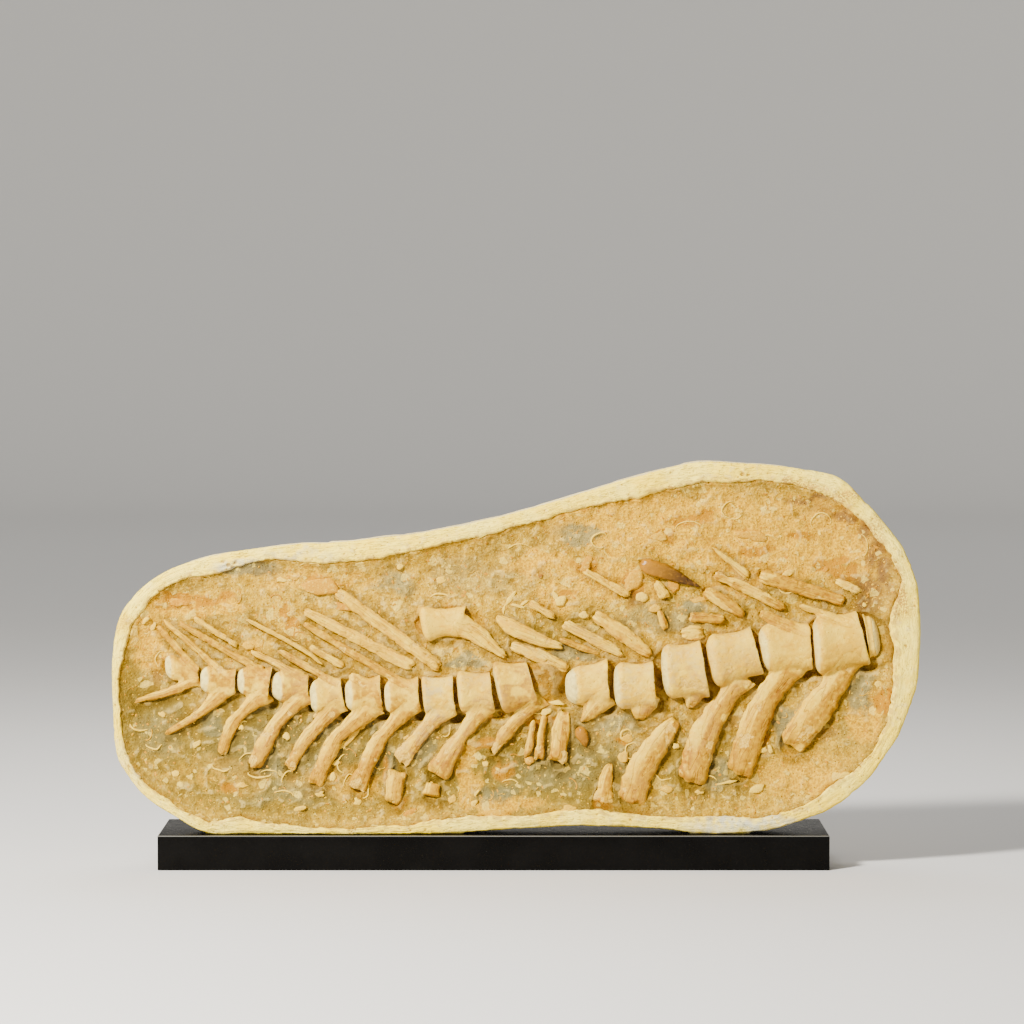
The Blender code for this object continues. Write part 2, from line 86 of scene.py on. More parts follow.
VERTEBRAE = (
    Vertebra((71, 180), (71, 154), (99, 169), (97.5, 148), 8,
             ((90, 170, 7), (70, 193, 7), (56, 209, 5)),
             ((90, 152, 10), (62, 141, 9), (30, 132, 5)), (0.8, 0.9, 0.0, 0.9)),
    Vertebra((108, 169), (108, 140), (136, 166), (135, 139), 9,
             ((120, 163, 8), (95, 186, 7), (63, 214, 5)),
             ((122, 145, 17), (108, 130, 12), (94, 118, 10), (64, 100, 6)), (0.9, 0.9, 0.0, 1.0)),
    Vertebra((144, 167), (144, 138), (172, 168), (167, 132), 8,
             ((155, 167, 8), (125, 184, 7), (78, 212, 5)),
             ((158, 138, 19), (142, 123, 12), (130, 108, 12), (120, 80, 11)), (0.95, 0.9, 0.0, 1.0)),
    Vertebra((181, 164), (183, 131), (209, 160), (208, 134), 12,
             ((196, 160, 9), (172, 173, 8), (150, 183, 6)),
             ((199, 137, 20), (184, 120, 14), (172, 105, 14), (152, 66, 18)), (0.8, 0.8, 0.1, 1.0)),
    Vertebra((216, 156), (218, 120), (241, 158), (245, 125), 8,
             ((231, 154, 8), (200, 171, 7), (178, 185, 5)),
             ((232, 127, 20), (217, 109, 13), (205, 95, 13), (187, 65, 12)), (0.5, 1.0, 0.1, 0.9)),
    Vertebra((252, 157), (254, 122), (280, 160), (283, 124), 9,
             ((262, 152, 11), (250, 160, 9)),
             ((268, 126, 22), (246, 105, 14), (233, 92, 15), (214, 49, 17)), (0.7, 0.9, 0.0, 0.9)),
    Vertebra((290, 155), (291, 120), (318, 158), (321, 123), 7,
             ((301, 152, 9), (248, 183.5, 8), (203, 211, 6)),
             ((306, 126, 20), (286, 103, 14), (275, 88, 17), (256, 46, 19)), (0.6, 1.0, 0.0, 0.75)),
    Vertebra((322, 158), (326, 120), (353, 159), (356, 121), 2, (),
             ((341, 124, 22), (320, 99, 14), (307, 83, 17), (299, 72.5, 19)), (0.05, 0.5, 0.6, 0.1)),
    Vertebra((359, 164), (363, 121), (390, 162), (396, 122), 4, (),
             ((380, 124, 22), (362, 99, 15), (352, 85, 19), (336, 59, 24)), (0.4, 0.7, 0.2, 0.5)),
    Vertebra((394, 173), (406, 120), (427, 172), (441, 128), 4, (),
             ((436, 131, 14), (415, 112, 14), (403, 97, 13), (392, 81, 9)), (0.9, 1.0, 0.15, 0.6)),
    Vertebra((477, 168), (480, 128), (508, 176), (511, 131), 13, (),
             ((500, 134, 25), (491, 123, 18), (483, 113, 9)), (0.3, 0.4, 0.1, 0.9)),
    Vertebra((520, 172), (522, 124), (554, 173), (559, 125), 7, (),
             ((545, 134, 25), (542, 124, 21), (539, 113, 10)), (0.1, 0.7, 0.35, 0.9)),
    Vertebra((567, 190), (572, 135), (601, 194), (612, 136), 7, (),
             ((595, 144, 22), (593, 134, 15), (591, 126, 8)), (0.25, 0.6, 0.3, 0.7)),
    Vertebra((612, 200), (622, 146), (652, 207), (666, 160), 8, (),
             ((638, 152, 24), (624, 131, 20), (606, 100, 28), (592, 52, 30)), (0.3, 1.0, 0.15, 0.25)),
    Vertebra((666, 210), (674, 160), (711, 212), (715, 164), 9,
             ((700, 205, 13), (680, 213, 12), (661, 222, 10)),
             ((690, 166, 26), (671, 140, 23), (655, 106, 29), (640, 60, 26)), (0.3, 1.0, 0.0, 0.7)),
    Vertebra((720, 220), (724, 158), (758, 224), (773, 170), 8,
             ((744, 214, 11), (722, 222, 9), (701, 229.5, 7)),
             ((747, 170, 24), (731, 142, 26), (711, 114, 30), (692, 88, 24)), (0.35, 0.5, 0.0, 0.6)),
    Vertebra((771, 219), (777, 177), (764, 221), (771, 175), 7, (), (), (0.0, 0.0, 0.1, 0.8)),
)

# Which solid of the model each vertebra belongs to, by its place in the row.
TAIL_LENGTHS = (
    ("tail_tip", 0, 4), ("tail_rear", 4, 7), ("tail_middle", 7, 10),
    ("tail_fore", 10, 12), ("tail_root_rear", 12, 15), ("tail_root_front", 15, 17),
)

# A vertebra's body along its length: ball lengths in front of the tail end (below nought) or the
# share of the way to the body end, where the last rows turn back in to hollow the cup, and the
# share of the full height there.
BODY_PROFILE = (
    (-1.0, 0.3), (-0.95, 0.48), (-0.82, 0.66), (-0.58, 0.81), (-0.28, 0.92), (0.0, 0.96),
    (0.02, 0.985), (0.07, 1.0), (0.16, 0.955), (0.34, 0.89), (0.52, 0.865), (0.7, 0.885),
    (0.86, 0.95), (0.94, 1.0), (0.985, 1.0), (1.0, 0.965), (0.985, 0.9), (0.94, 0.7), (0.9, 0.35),
)
WAIST_OF_SMALL = 1.25
WAIST_OF_LARGE = 0.6
BODY_SINK = 1.5
BODY_FRONT = 0.66
BODY_BACK = 0.3
BODY_SQUARENESS = 2.65
BODY_SIDES = 40

BAR_STEP = 2.0
BAR_SINK = -0.2
BAR_OUTLINE = 1.07
BAR_FRONT_LEAST = 3.4
BAR_BACK = 0.5
HEAD_REACH = 7.0
HEAD_FLARE = {"spine": 1.8, "arch": 4.0, "plate": 0.0}
HEAD_INSIDE = {"spine": 7.0, "arch": 8.0}
HEAD_RISE = {"spine": 0.5, "arch": 0.5, "plate": 0.0}
HEAD_DIVE = 9.0
END_WIDTH = {"spine": 0.6, "arch": 0.85, "plate": 0.85}
END_RAGGED = 3.4

# A long bone's section across its front, from its right edge to its left one, and how high it
# stands there. An arch has a broad face to the upper left and a steep one to the lower right.
BAR_SECTIONS = {
    "spine": ((-1.0, 0.3), (-0.92, 0.64), (-0.6, 0.92), (-0.2, 1.0), (0.2, 0.96), (0.45, 0.82),
              (0.7, 0.78), (0.93, 0.56), (1.0, 0.25)),
    "arch": ((-1.0, 0.2), (-0.94, 0.5), (-0.7, 0.8), (-0.25, 0.98), (0.0, 1.0), (0.4, 0.92),
             (0.78, 0.76), (0.94, 0.5), (1.0, 0.2)),
}
BAR_DEPTH = {"spine": 0.52, "arch": 0.44, "plate": 0.36}
BAR_FLATTER = 48.0
BAR_FADE = {"spine": 2.5, "arch": 8.0, "plate": 4.0}
BAR_FRONT_SIDES = 15
BAR_BACK_SIDES = 5

BONE_VOXEL = 0.00085
BONE_SMOOTHING = 2
JOIN_SMOOTHING = 30


def on_slab(points):
    """Places in the model, in metres, of rows of u, v and depth."""
    return SLAB_ORIGIN + np.asarray(points, float)[..., (0, 2, 1)] * MM


def off_slab(places):
    """Rows of u, v and depth of places in the model."""
    return ((np.asarray(places) - SLAB_ORIGIN) / MM)[..., (0, 2, 1)]


def smooth_step(value, low, high):
    """Nought below low, one above high, and a smooth rise between them."""
    share = np.clip((value - low) / (high - low), 0.0, 1.0)
    return share * share * (3 - 2 * share)


def wander(points, size, seed):
    """Smooth noise between -1 and 1 at each point, its features about size across."""
    place = np.asarray(points, float) / size
    corner = np.floor(place).astype(np.int64)
    part = place - corner
    part = part * part * (3 - 2 * part)
    factors = np.array((374761393, 668265263, 1440662683)[:place.shape[-1]], np.int64)
    total = np.zeros(place.shape[:-1])
    for shift in itertools.product((0, 1), repeat=place.shape[-1]):
        key = ((corner + shift) * factors).sum(-1) + seed * 977231
        key = (key ^ (key >> 13)) * 1274126177 & 0x7FFFFFFF
        key = (key ^ (key >> 16)) & 0xFFFF
        weight = np.prod(np.where(np.array(shift) == 1, part, 1 - part), axis=-1)
        total += weight * (key / 32767.5 - 1)
    return total


def roughness(points, size, seed, layers=4):
    """Noise in layers, each half as large and half as strong as the one before."""
    return sum(wander(points, size / 2 ** layer, seed + layer) / 2 ** layer
               for layer in range(layers))


def ground(u, v):
    """The depth of the rock's face, without its small unevenness."""
    share = np.clip((u - ROCK_LEVEL_START) / ROCK_LEVEL_RUN, 0.0, 1.0)
    depth = ROCK_LEVEL_TAIL + (ROCK_LEVEL_BODY - ROCK_LEVEL_TAIL) * share
    for centre_u, centre_v, reach_u, reach_v, rise in ROCK_SWELLS:
        far = ((u - centre_u) / reach_u) ** 2 + ((v - centre_v) / reach_v) ** 2
        depth = depth - rise * np.exp(-far)
    return depth


def curve(rows, step, closed=False):
    """Rows at even steps along a smooth curve through rows that start with u and v."""
    rows = np.array(rows, float)
    ends = (rows[-1:], rows[:2]) if closed else (rows[:1], rows[-1:])
    knots = np.vstack([ends[0], rows, ends[1]])
    t = np.linspace(0, 1, 12, endpoint=False)[:, None]
    fine = [
        0.5 * (2 * b + (c - a) * t + (2 * a - 5 * b + 4 * c - d) * t ** 2
               + (3 * b - a - 3 * c + d) * t ** 3)
        for a, b, c, d in zip(knots, knots[1:], knots[2:], knots[3:])
    ]
    fine = np.vstack(fine + [rows[:1] if closed else rows[-1:]])
    reach = np.concatenate([[0], np.cumsum(np.hypot(*np.diff(fine[:, :2], axis=0).T))])
    places = np.linspace(0, reach[-1], max(int(round(reach[-1] / step)), 3) + 1)
    if closed:
        places = places[:-1]
    return np.stack([np.interp(places, reach, column) for column in fine.T], 1)


def across_path(path):
    """The unit direction to one side of a path: the upper left of an arch that hangs down."""
    run = np.gradient(path[:, :2], axis=0)
    run /= np.hypot(*run.T)[:, None]
    return np.stack([run[:, 1], -run[:, 0]], 1)


def body_rings(centres, across, half_width, depth):
    """Squarish rings round a vertebra's body, each standing out in front and running back."""
    angle = 2 * math.pi * (np.arange(BODY_SIDES) + 0.5) / BODY_SIDES
    wide = np.sign(np.cos(angle)) * np.abs(np.cos(angle)) ** (2 / BODY_SQUARENESS)
    tall = np.sign(np.sin(angle)) * np.abs(np.sin(angle)) ** (2 / BODY_SQUARENESS)
    tall = np.where(tall > 0, BODY_FRONT * tall, BODY_BACK * tall)
    place = centres[:, None, :] + across[:, None, :] * (half_width[:, None] * wide)[..., None]
    return np.dstack([place, depth[:, None] - half_width[:, None] * tall])


def bar_rings(centres, across, half_width, front, depth, kind):
    """Rings round a long bone with its own section, and with ragged ends."""
    spots, heights = np.array(BAR_SECTIONS["spine" if kind == "spine" else "arch"]).T
    wide = np.linspace(-1, 1, BAR_FRONT_SIDES)
    tall = np.interp(wide, spots, heights)
    back_wide = np.linspace(0.7, -0.7, BAR_BACK_SIDES)
    wide = np.concatenate([wide, back_wide])
    tall = np.concatenate([tall, -BAR_BACK * np.cos(back_wide)])
    place = centres[:, None, :] + across[:, None, :] * (half_width[:, None] * wide)[..., None]
    run = np.stack([-across[:, 1], across[:, 0]], 1)
    far_end = smooth_step(np.arange(len(centres)) / (len(centres) - 1), 0.7, 1.0)
    near_end = smooth_step(np.arange(len(centres)) / (len(centres) - 1), 0.3, 0.0)
    spread = np.column_stack([wide * 2.1 + centres[0, 0], np.full(len(wide), centres[0, 1])])
    ragged = END_RAGGED * wander(spread, 1.0, 17)
    shift = far_end[:, None] * ragged - near_end[:, None] * ragged[::-1] * 0.6
    place = place + run[:, None, :] * shift[..., None]
    rise = np.where(tall > 0, front[:, None] * tall, (front[:, None] + 2.0) * tall)
    return np.dstack([place, depth[:, None] - rise])


def loft(rings):
    """Points and faces of a closed form through rings, with a point at each end."""
    count, sides = rings.shape[:2]
    points = np.vstack([rings.reshape(-1, 3), rings[0].mean(0), rings[-1].mean(0)])
    faces = []
    for side in range(sides):
        after = (side + 1) % sides
        faces.append((side, count * sides, after))
        last = (count - 1) * sides
        faces.append((last + side, last + after, count * sides + 1))
        for row in range(count - 1):
            low, high = row * sides, (row + 1) * sides
            faces.append((low + side, low + after, high + after, high + side))
    return points, faces


# What each finished bone covers on the slab's face: stations of u, v and half width.
bone_lines = []
BonePart = namedtuple("BonePart", "kind path share half_width across ends")


def bar_form(rows, kind, parts):
    """A long bone along a smooth path, with a flared head where it grows from a body."""
    rows = np.array(rows, float)
    grown = bool(parts)
    if grown:
        back = rows[0, :2] - rows[1, :2]
        start = np.append(rows[0, :2] + back / np.hypot(*back) * HEAD_INSIDE[kind], rows[0, 2])
        rows = np.vstack([start, rows])
    path = curve(rows, BAR_STEP)
    centres, width = path[:, :2], path[:, 2]
    share = np.linspace(0, 1, len(path))
    across = across_path(path)
    reach = share * (len(path) - 1) * BAR_STEP
    left = reach[-1] - reach
    head = np.exp(-reach / HEAD_REACH) if grown else np.zeros(len(path))
    uneven = {"plate": 1.9, "arch": 1.3, "spine": 1.0}[kind]
    wobble = 1 + uneven * (0.09 * wander(centres, 11.0, 5) + 0.05 * wander(centres, 4.0, 6))
    half_width = (width / 2 * BAR_OUTLINE + HEAD_FLARE[kind] * head) * wobble
    narrow = END_WIDTH[kind]
    half_width = half_width * (narrow + (1 - narrow) * smooth_step(left, -1.0, 4.0))
    close = smooth_step(left, -0.25 * BAR_FADE[kind], BAR_FADE[kind]) ** 0.7
    if not grown:
        close = close * smooth_step(reach, -1.5, 3.0) ** 0.7
        half_width = half_width * (narrow + (1 - narrow) * smooth_step(reach, -1.0, 3.0))
    front = np.maximum(width * BAR_DEPTH[kind] / (1 + width / BAR_FLATTER), BAR_FRONT_LEAST)
    front = front * (1 + HEAD_RISE[kind] * head) * np.maximum(close, 0.3)
    if grown:
        front = front * (0.2 + 0.8 * smooth_step(reach, -0.4 * HEAD_DIVE, HEAD_DIVE))
    depth = ground(*centres.T) + BAR_SINK * close
    parts.append(BonePart(kind, centres, share, half_width, across, None))
    bone_lines.append(np.column_stack([centres, half_width]))
    return loft(bar_rings(centres, across, half_width, front, depth, kind))


def body_form(bone, parts):
    """A vertebra's body: a waisted spool with a ball at the tail end and a cup at the other."""
    corners = [np.array(corner, float) for corner in bone[:4]]
    tail_top, tail_low, body_top, body_low = corners
    run = (body_top + body_low - tail_top - tail_low) / 2
    length = np.hypot(*run)
    run = run / length
    centres, halves, shares = [], [], []
    size = np.hypot(*(tail_top - tail_low + body_top - body_low)) / 4
    waist = WAIST_OF_SMALL + (WAIST_OF_LARGE - WAIST_OF_SMALL) * smooth_step(size, 14.0, 23.0)
    for place, height in BODY_PROFILE:
        along = max(place, 0.0)
        if 0.1 < place < 0.9 and height > 0.5:
            height = 1 - (1 - height) * waist
        top = tail_top + (body_top - tail_top) * along
        low = tail_low + (body_low - tail_low) * along
        centres.append((top + low) / 2 + run * min(place, 0.0) * bone.ball)
        halves.append((top - low) / 2 * height)
        shares.append(along if place > 0 else place * bone.ball / length)
    centres, halves = np.array(centres), np.array(halves)
    half_height = np.hypot(*halves.T)
    across = halves / half_height[:, None]
    depth = ground(*centres.T) + BODY_SINK
    rings = body_rings(centres, across, half_height, depth)
    ends = []
    for top, low in ((tail_top, tail_low), (body_top, body_low)):
        ends.append(((top + low) / 2, np.array((top - low)[::-1] * (1, -1)) / np.hypot(*(top - low))))
    if (run * ends[0][1]).sum() < 0:
        ends = [(middle, -square) for middle, square in ends]
    parts.append(BonePart("body", centres, np.array(shares), half_height, across, ends))
    steps = np.linspace(0, 1, 14)[:, None]
    line = centres[1] + (centres[13] - centres[1]) * steps
    bone_lines.append(np.column_stack([line, np.interp(steps[:, 0], (0, 0.3, 1), (
        half_height[2] * 0.8, half_height[6], half_height[13]))]))
    return loft(rings)


def mesh_from(name, forms):
    """One mesh from several forms of points on the slab and faces."""
    points, faces, first = [], [], 0
    for form_points, form_faces in forms:
        points.append(on_slab(form_points))
        faces.extend([[first + corner for corner in face] for face in form_faces])
        first += len(form_points)
    mesh = bpy.data.meshes.new(name)
    mesh.from_pydata(np.vstack(points).tolist(), [], faces)
    mesh.update()
    return mesh


def add_piece(name, mesh):
    """Link a mesh to the scene as a piece."""
    piece = bpy.data.objects.new(name, mesh)
    bpy.context.scene.collection.objects.link(piece)
    return piece


def settle_modifiers(piece):
    """Turn what a piece's modifiers give into its own plain mesh."""
    graph = bpy.context.evaluated_depsgraph_get()
    mesh = bpy.data.meshes.new_from_object(piece.evaluated_get(graph))
    piece.modifiers.clear()
    old, piece.data = piece.data, mesh
    bpy.data.meshes.remove(old)


def vertex_places(mesh):
    """A mesh's points as an array."""
    flat = np.empty(len(mesh.vertices) * 3)
    mesh.vertices.foreach_get("co", flat)
    return flat.reshape(-1, 3)


def vertex_normals(mesh):
    """A mesh's normals at its points, as an array."""
    flat = np.empty(len(mesh.vertices) * 3)
    mesh.vertex_normals.foreach_get("vector", flat)
    return flat.reshape(-1, 3)


def move_vertices(mesh, places):
    """Put a mesh's points at new places."""
    mesh.vertices.foreach_set("co", np.ascontiguousarray(places).ravel())
    mesh.update()


def relax(mesh, places, times, pull=0.6):
    """Places drawn towards the middle of their neighbours, a few times over."""
    edges = np.empty(len(mesh.edges) * 2, np.int32)
    mesh.edges.foreach_get("vertices", edges)
    near, far = np.concatenate([edges.reshape(-1, 2), edges.reshape(-1, 2)[:, ::-1]]).T
    count = np.bincount(near, minlength=len(places))[:, None]
    for _ in range(times):
        total = np.stack([np.bincount(near, places[far, axis], len(places)) for axis in range(3)], 1)
        places = places + pull * (total / count - places)
    return places


def paint(mesh, name, values, kind="FLOAT"):
    """Store a value at each of a mesh's points, for its material to read."""
    field = "value" if kind == "FLOAT" else "vector"
    layer = mesh.attributes.new(name, kind, "POINT")
    layer.data.foreach_set(field, np.ascontiguousarray(values, np.float32).ravel())


def locate(points, parts):
    """Where each point of a bone lies: in which part, how far along it and to its side, its
    distance along in millimetres, and how close it comes to a second part."""
    pick = np.arange(len(points))
    best = np.full(len(points), 9.0)
    second = best.copy()
    share, side, along = np.zeros((3, len(points)))
    kind = np.zeros(len(points), int)
    for number, part in enumerate(parts):
        away = points[:, None, :2] - part.path[None]
        far = np.hypot(away[..., 0], away[..., 1]) / part.half_width[None]
        station = far.argmin(1)
        ratio = far[pick, station]
        closer = ratio < best
        second = np.where(closer, best, np.minimum(second, ratio))
        best = np.where(closer, ratio, best)
        across = part.across[station]
        to_side = (away[pick, station] * across).sum(1) / part.half_width[station]
        run = np.stack([-across[:, 1], across[:, 0]], 1)
        length = np.hypot(*np.diff(part.path, axis=0).T).sum()
        reached = part.share[station] + (away[pick, station] * run).sum(1) / length
        if part.ends:
            past, short = [(points[:, :2] - middle) @ square for middle, square in part.ends]
            within = past / (np.maximum(past, 0.01) + np.maximum(-short, 0.01))
            reached = np.where(past > 0, within, past / length)
        share = np.where(closer, reached, share)
        side = np.where(closer, to_side, side)
        along = np.where(closer, reached * length, along)
        kind = np.where(closer, number, kind)
    return kind, share, side, along, smooth_step(-second, -1.7, -1.0)


def finish_bone(piece, parts, stain, seed):
    """Fuse a bone's forms into one skin, give it its fine relief and paint its stains, with painted shade on its
    lower faces and in its grooves.
    """
    skin = piece.modifiers.new("skin", "REMESH")
    skin.mode = "VOXEL"
    skin.voxel_size = BONE_VOXEL
    settle_modifiers(piece)
    mesh = piece.data
    places = relax(mesh, vertex_places(mesh), BONE_SMOOTHING)
    points = off_slab(places)
    kind, share, side, along, join = locate(points, parts)
    join = join * smooth_step(share, -0.02, 0.08)
    places = relax(mesh, places, JOIN_SMOOTHING, 0.6 * join[:, None])
    move_vertices(mesh, places)
    is_body = np.array([part.kind == "body" for part in parts])[kind]
    is_blade = np.array([part.kind in ("arch", "plate") for part in parts])[kind]
    scar_level = np.where(is_body, 0.95, 0.7 - 0.5 * smooth_step(share, 0.55, 1.0) * is_blade)
    scar = smooth_step(roughness(points, 15.0, seed + 40, 4), scar_level, scar_level + 0.06)
    strips = wander(np.column_stack([along / 34, side * 1.9, kind * 7.0]), 1.0, seed)
    strips += 0.5 * wander(np.column_stack([along / 20, side * 4.2, kind * 9.0]), 1.0, seed + 1)
    free = ~is_body * (smooth_step(along, 5.0, 17.0) if len(parts) > 1 else 1.0)
    # The grooves along a process are cut into the surface and also painted darker as painted shade.
    shaded_groove = smooth_step(-strips, 0.25, 0.6) * free
    chips = smooth_step(wander(points, 4.4, seed + 13), 0.1, 0.6)
    relief = 0.35 * roughness(points, 11.0, seed + 3, 4) - 0.55 * scar
    relief += (0.1 + 0.12 * free) * strips - 0.18 * shaded_groove
    relief -= 0.6 * smooth_step(wander(points, 3.0, seed + 11), 0.62, 0.85)
    relief -= 0.8 * chips * smooth_step(np.abs(side), 0.6, 1.0) * free
    move_vertices(mesh, places + vertex_normals(mesh) * (relief * MM)[:, None])
    mottle = 0.5 + 0.5 * roughness(points, 13.0, seed + 20, 3)
    body_stain, bar_stain, grey, whiteness = stain
    # The amber is stronger on the lower half of a body and on the lower-right face of an arch: partly the bone's
    # stain, partly painted shade on the faces turned from the light.
    low_right_stain_and_shade = smooth_step(-side + 0.25 * strips, -0.35, 0.15)
    amber = body_stain * (0.5 + 0.5 * smooth_step(-side, -0.5, 0.8)) * smooth_step(mottle, 0.15, 0.6)
    blade = bar_stain * np.maximum(low_right_stain_and_shade, 0.75 * smooth_step(share, 0.55, 0.95))
    spine = bar_stain * smooth_step(mottle + 0.3 * strips + 0.5 * bar_stain, 0.55, 0.95)
    spine *= 0.45 if len(parts) > 1 else 1.0
    process = np.where(is_blade, blade * smooth_step(mottle, -0.1, 0.35), spine)
    amber = amber + free * (process - amber)
    wobble = 0.02 * wander(points, 4.0, seed + 31)
    crescent = -share + wobble - 0.07 * side ** 2
    ball = smooth_step(crescent, -0.02, 0.05) * smooth_step(mottle, -0.25, 0.3)
    lip = 0.4 * smooth_step(share + wobble, 0.93, 0.97) * (whiteness > 0)
    white = np.where(is_body, np.maximum(ball * whiteness, lip * smooth_step(mottle, 0.1, 0.6)), 0.0)
    grey = grey * smooth_step(mottle, 0.15, 0.75) * np.where(is_body, 1.0, 0.6)
    for name, value in (("amber", amber * (1 - white)), ("white", white), ("grey", grey),
                        ("scar", scar * (1 - ball)), ("long", free),
                        ("shaded_groove", shaded_groove)):
        paint(mesh, name, np.clip(value, 0, 1))
    paint(mesh, "grain", np.column_stack([along, side * 6.0, kind * 11.0 + seed]), "FLOAT_VECTOR")
    mesh.shade_smooth()


class Wire:
    """A value in a material. Sums on it add the Math nodes that work them out."""

    def __init__(self, finish, socket):
        self.finish = finish
        self.socket = socket

    def work(self, operation, *values):
        return self.finish.node("ShaderNodeMath", {"operation": operation}, dict(enumerate(values)))

    def __add__(self, other):
        return self.work("ADD", self, other)

    def __sub__(self, other):
        return self.work("SUBTRACT", self, other)

    def __rsub__(self, other):
        return self.work("SUBTRACT", other, self)

    def __mul__(self, other):
        return self.work("MULTIPLY", self, other)

    def work_vector(self, operation, *values):
        return self.finish.node("ShaderNodeVectorMath", {"operation": operation},
                                dict(enumerate((self,) + values)), operation == "LENGTH")

    __radd__ = __add__
    __rmul__ = __mul__

    def step(self, low, high):
        """Nought below low, one above high, and a smooth rise between them."""
        return self.finish.node("ShaderNodeMapRange", {"interpolation_type": "SMOOTHSTEP"}, {
            "Value": self, "From Min": low, "From Max": high})


class Finish:
    """A material in the making, over one Principled shader."""

    def __init__(self, name, same):
        self.material = bpy.data.materials.new(name)
        self.material.use_nodes = True
        self.tree = self.material.node_tree
        self.shader = self.tree.nodes["Principled BSDF"]
        for socket, value in same.items():
            self.shader.inputs[socket].default_value = value
        self.place = self.node("ShaderNodeTexCoord", output="Object")

    def node(self, kind, settings=None, values=None, output=0):
        """One node with its settings made first, then its sockets' values and links."""
        made = self.tree.nodes.new(kind)
        for name, value in (settings or {}).items():
            setattr(made, name, value)
        for name, value in (values or {}).items():
            socket = made.inputs[name] if isinstance(name, int) else next(
                entry for entry in made.inputs if name in (entry.identifier, entry.name))
            if isinstance(value, Wire):
                self.tree.links.new(value.socket, socket)
            else:
                socket.default_value = value
        return Wire(self, made.outputs[output])

    def painted(self, name):
        """A value stored at the mesh's points."""
        return self.node("ShaderNodeAttribute", {"attribute_name": name}, output="Fac")

    def speckle(self, size, detail=3.0, place=None):
        """Cloudy noise whose features are size millimetres across."""
        return self.node("ShaderNodeTexNoise", None, {
            "Vector": place or self.place, "Scale": 1 / (size * MM), "Detail": detail})

    def speckle_colour(self, size):
        """Cloudy noise with three values of its own, for a ragged shift of places."""
        return self.node("ShaderNodeTexNoise", None, {
            "Vector": self.place, "Scale": 1 / (size * MM), "Detail": 2.0}, "Color")

    def cells(self, size, place=None, output="Distance"):
        """Distance to the nearest of many scattered points, size millimetres apart."""
        return self.node("ShaderNodeTexVoronoi", None, {
            "Vector": place or self.place, "Scale": 1 / (size * MM)}, output)

    def cell_borders(self, size, place):
        """How far a place lies inside its own cell of many, size millimetres apart."""
        return self.node("ShaderNodeTexVoronoi", {"feature": "DISTANCE_TO_EDGE"}, {
            "Vector": place, "Scale": 1 / (size * MM)})

    def blend(self, share, first, second):
        """The first colour where share is nought and the second where it is one."""
        return self.node("ShaderNodeMix", {"data_type": "RGBA"}, {
            "Factor_Float": share, "A_Color": first, "B_Color": second}, 2)

    def darken(self, share, colour, by):
        """A colour multiplied by another where share is one."""
        return self.node("ShaderNodeMix", {"data_type": "RGBA", "blend_type": "MULTIPLY"}, {
            "Factor_Float": share, "A_Color": colour, "B_Color": by}, 2)

    def relief(self, height, depth):
        """A bump whose height of one stands depth millimetres out."""
        return self.node("ShaderNodeBump", None, {"Height": height, "Distance": depth * MM})

    def feed(self, colour, roughness, normal):
        """Link the finished colour, roughness and normal to the shader."""
        for name, value in (("Base Color", colour), ("Roughness", roughness), ("Normal", normal)):
            self.tree.links.new(value.socket, self.shader.inputs[name])


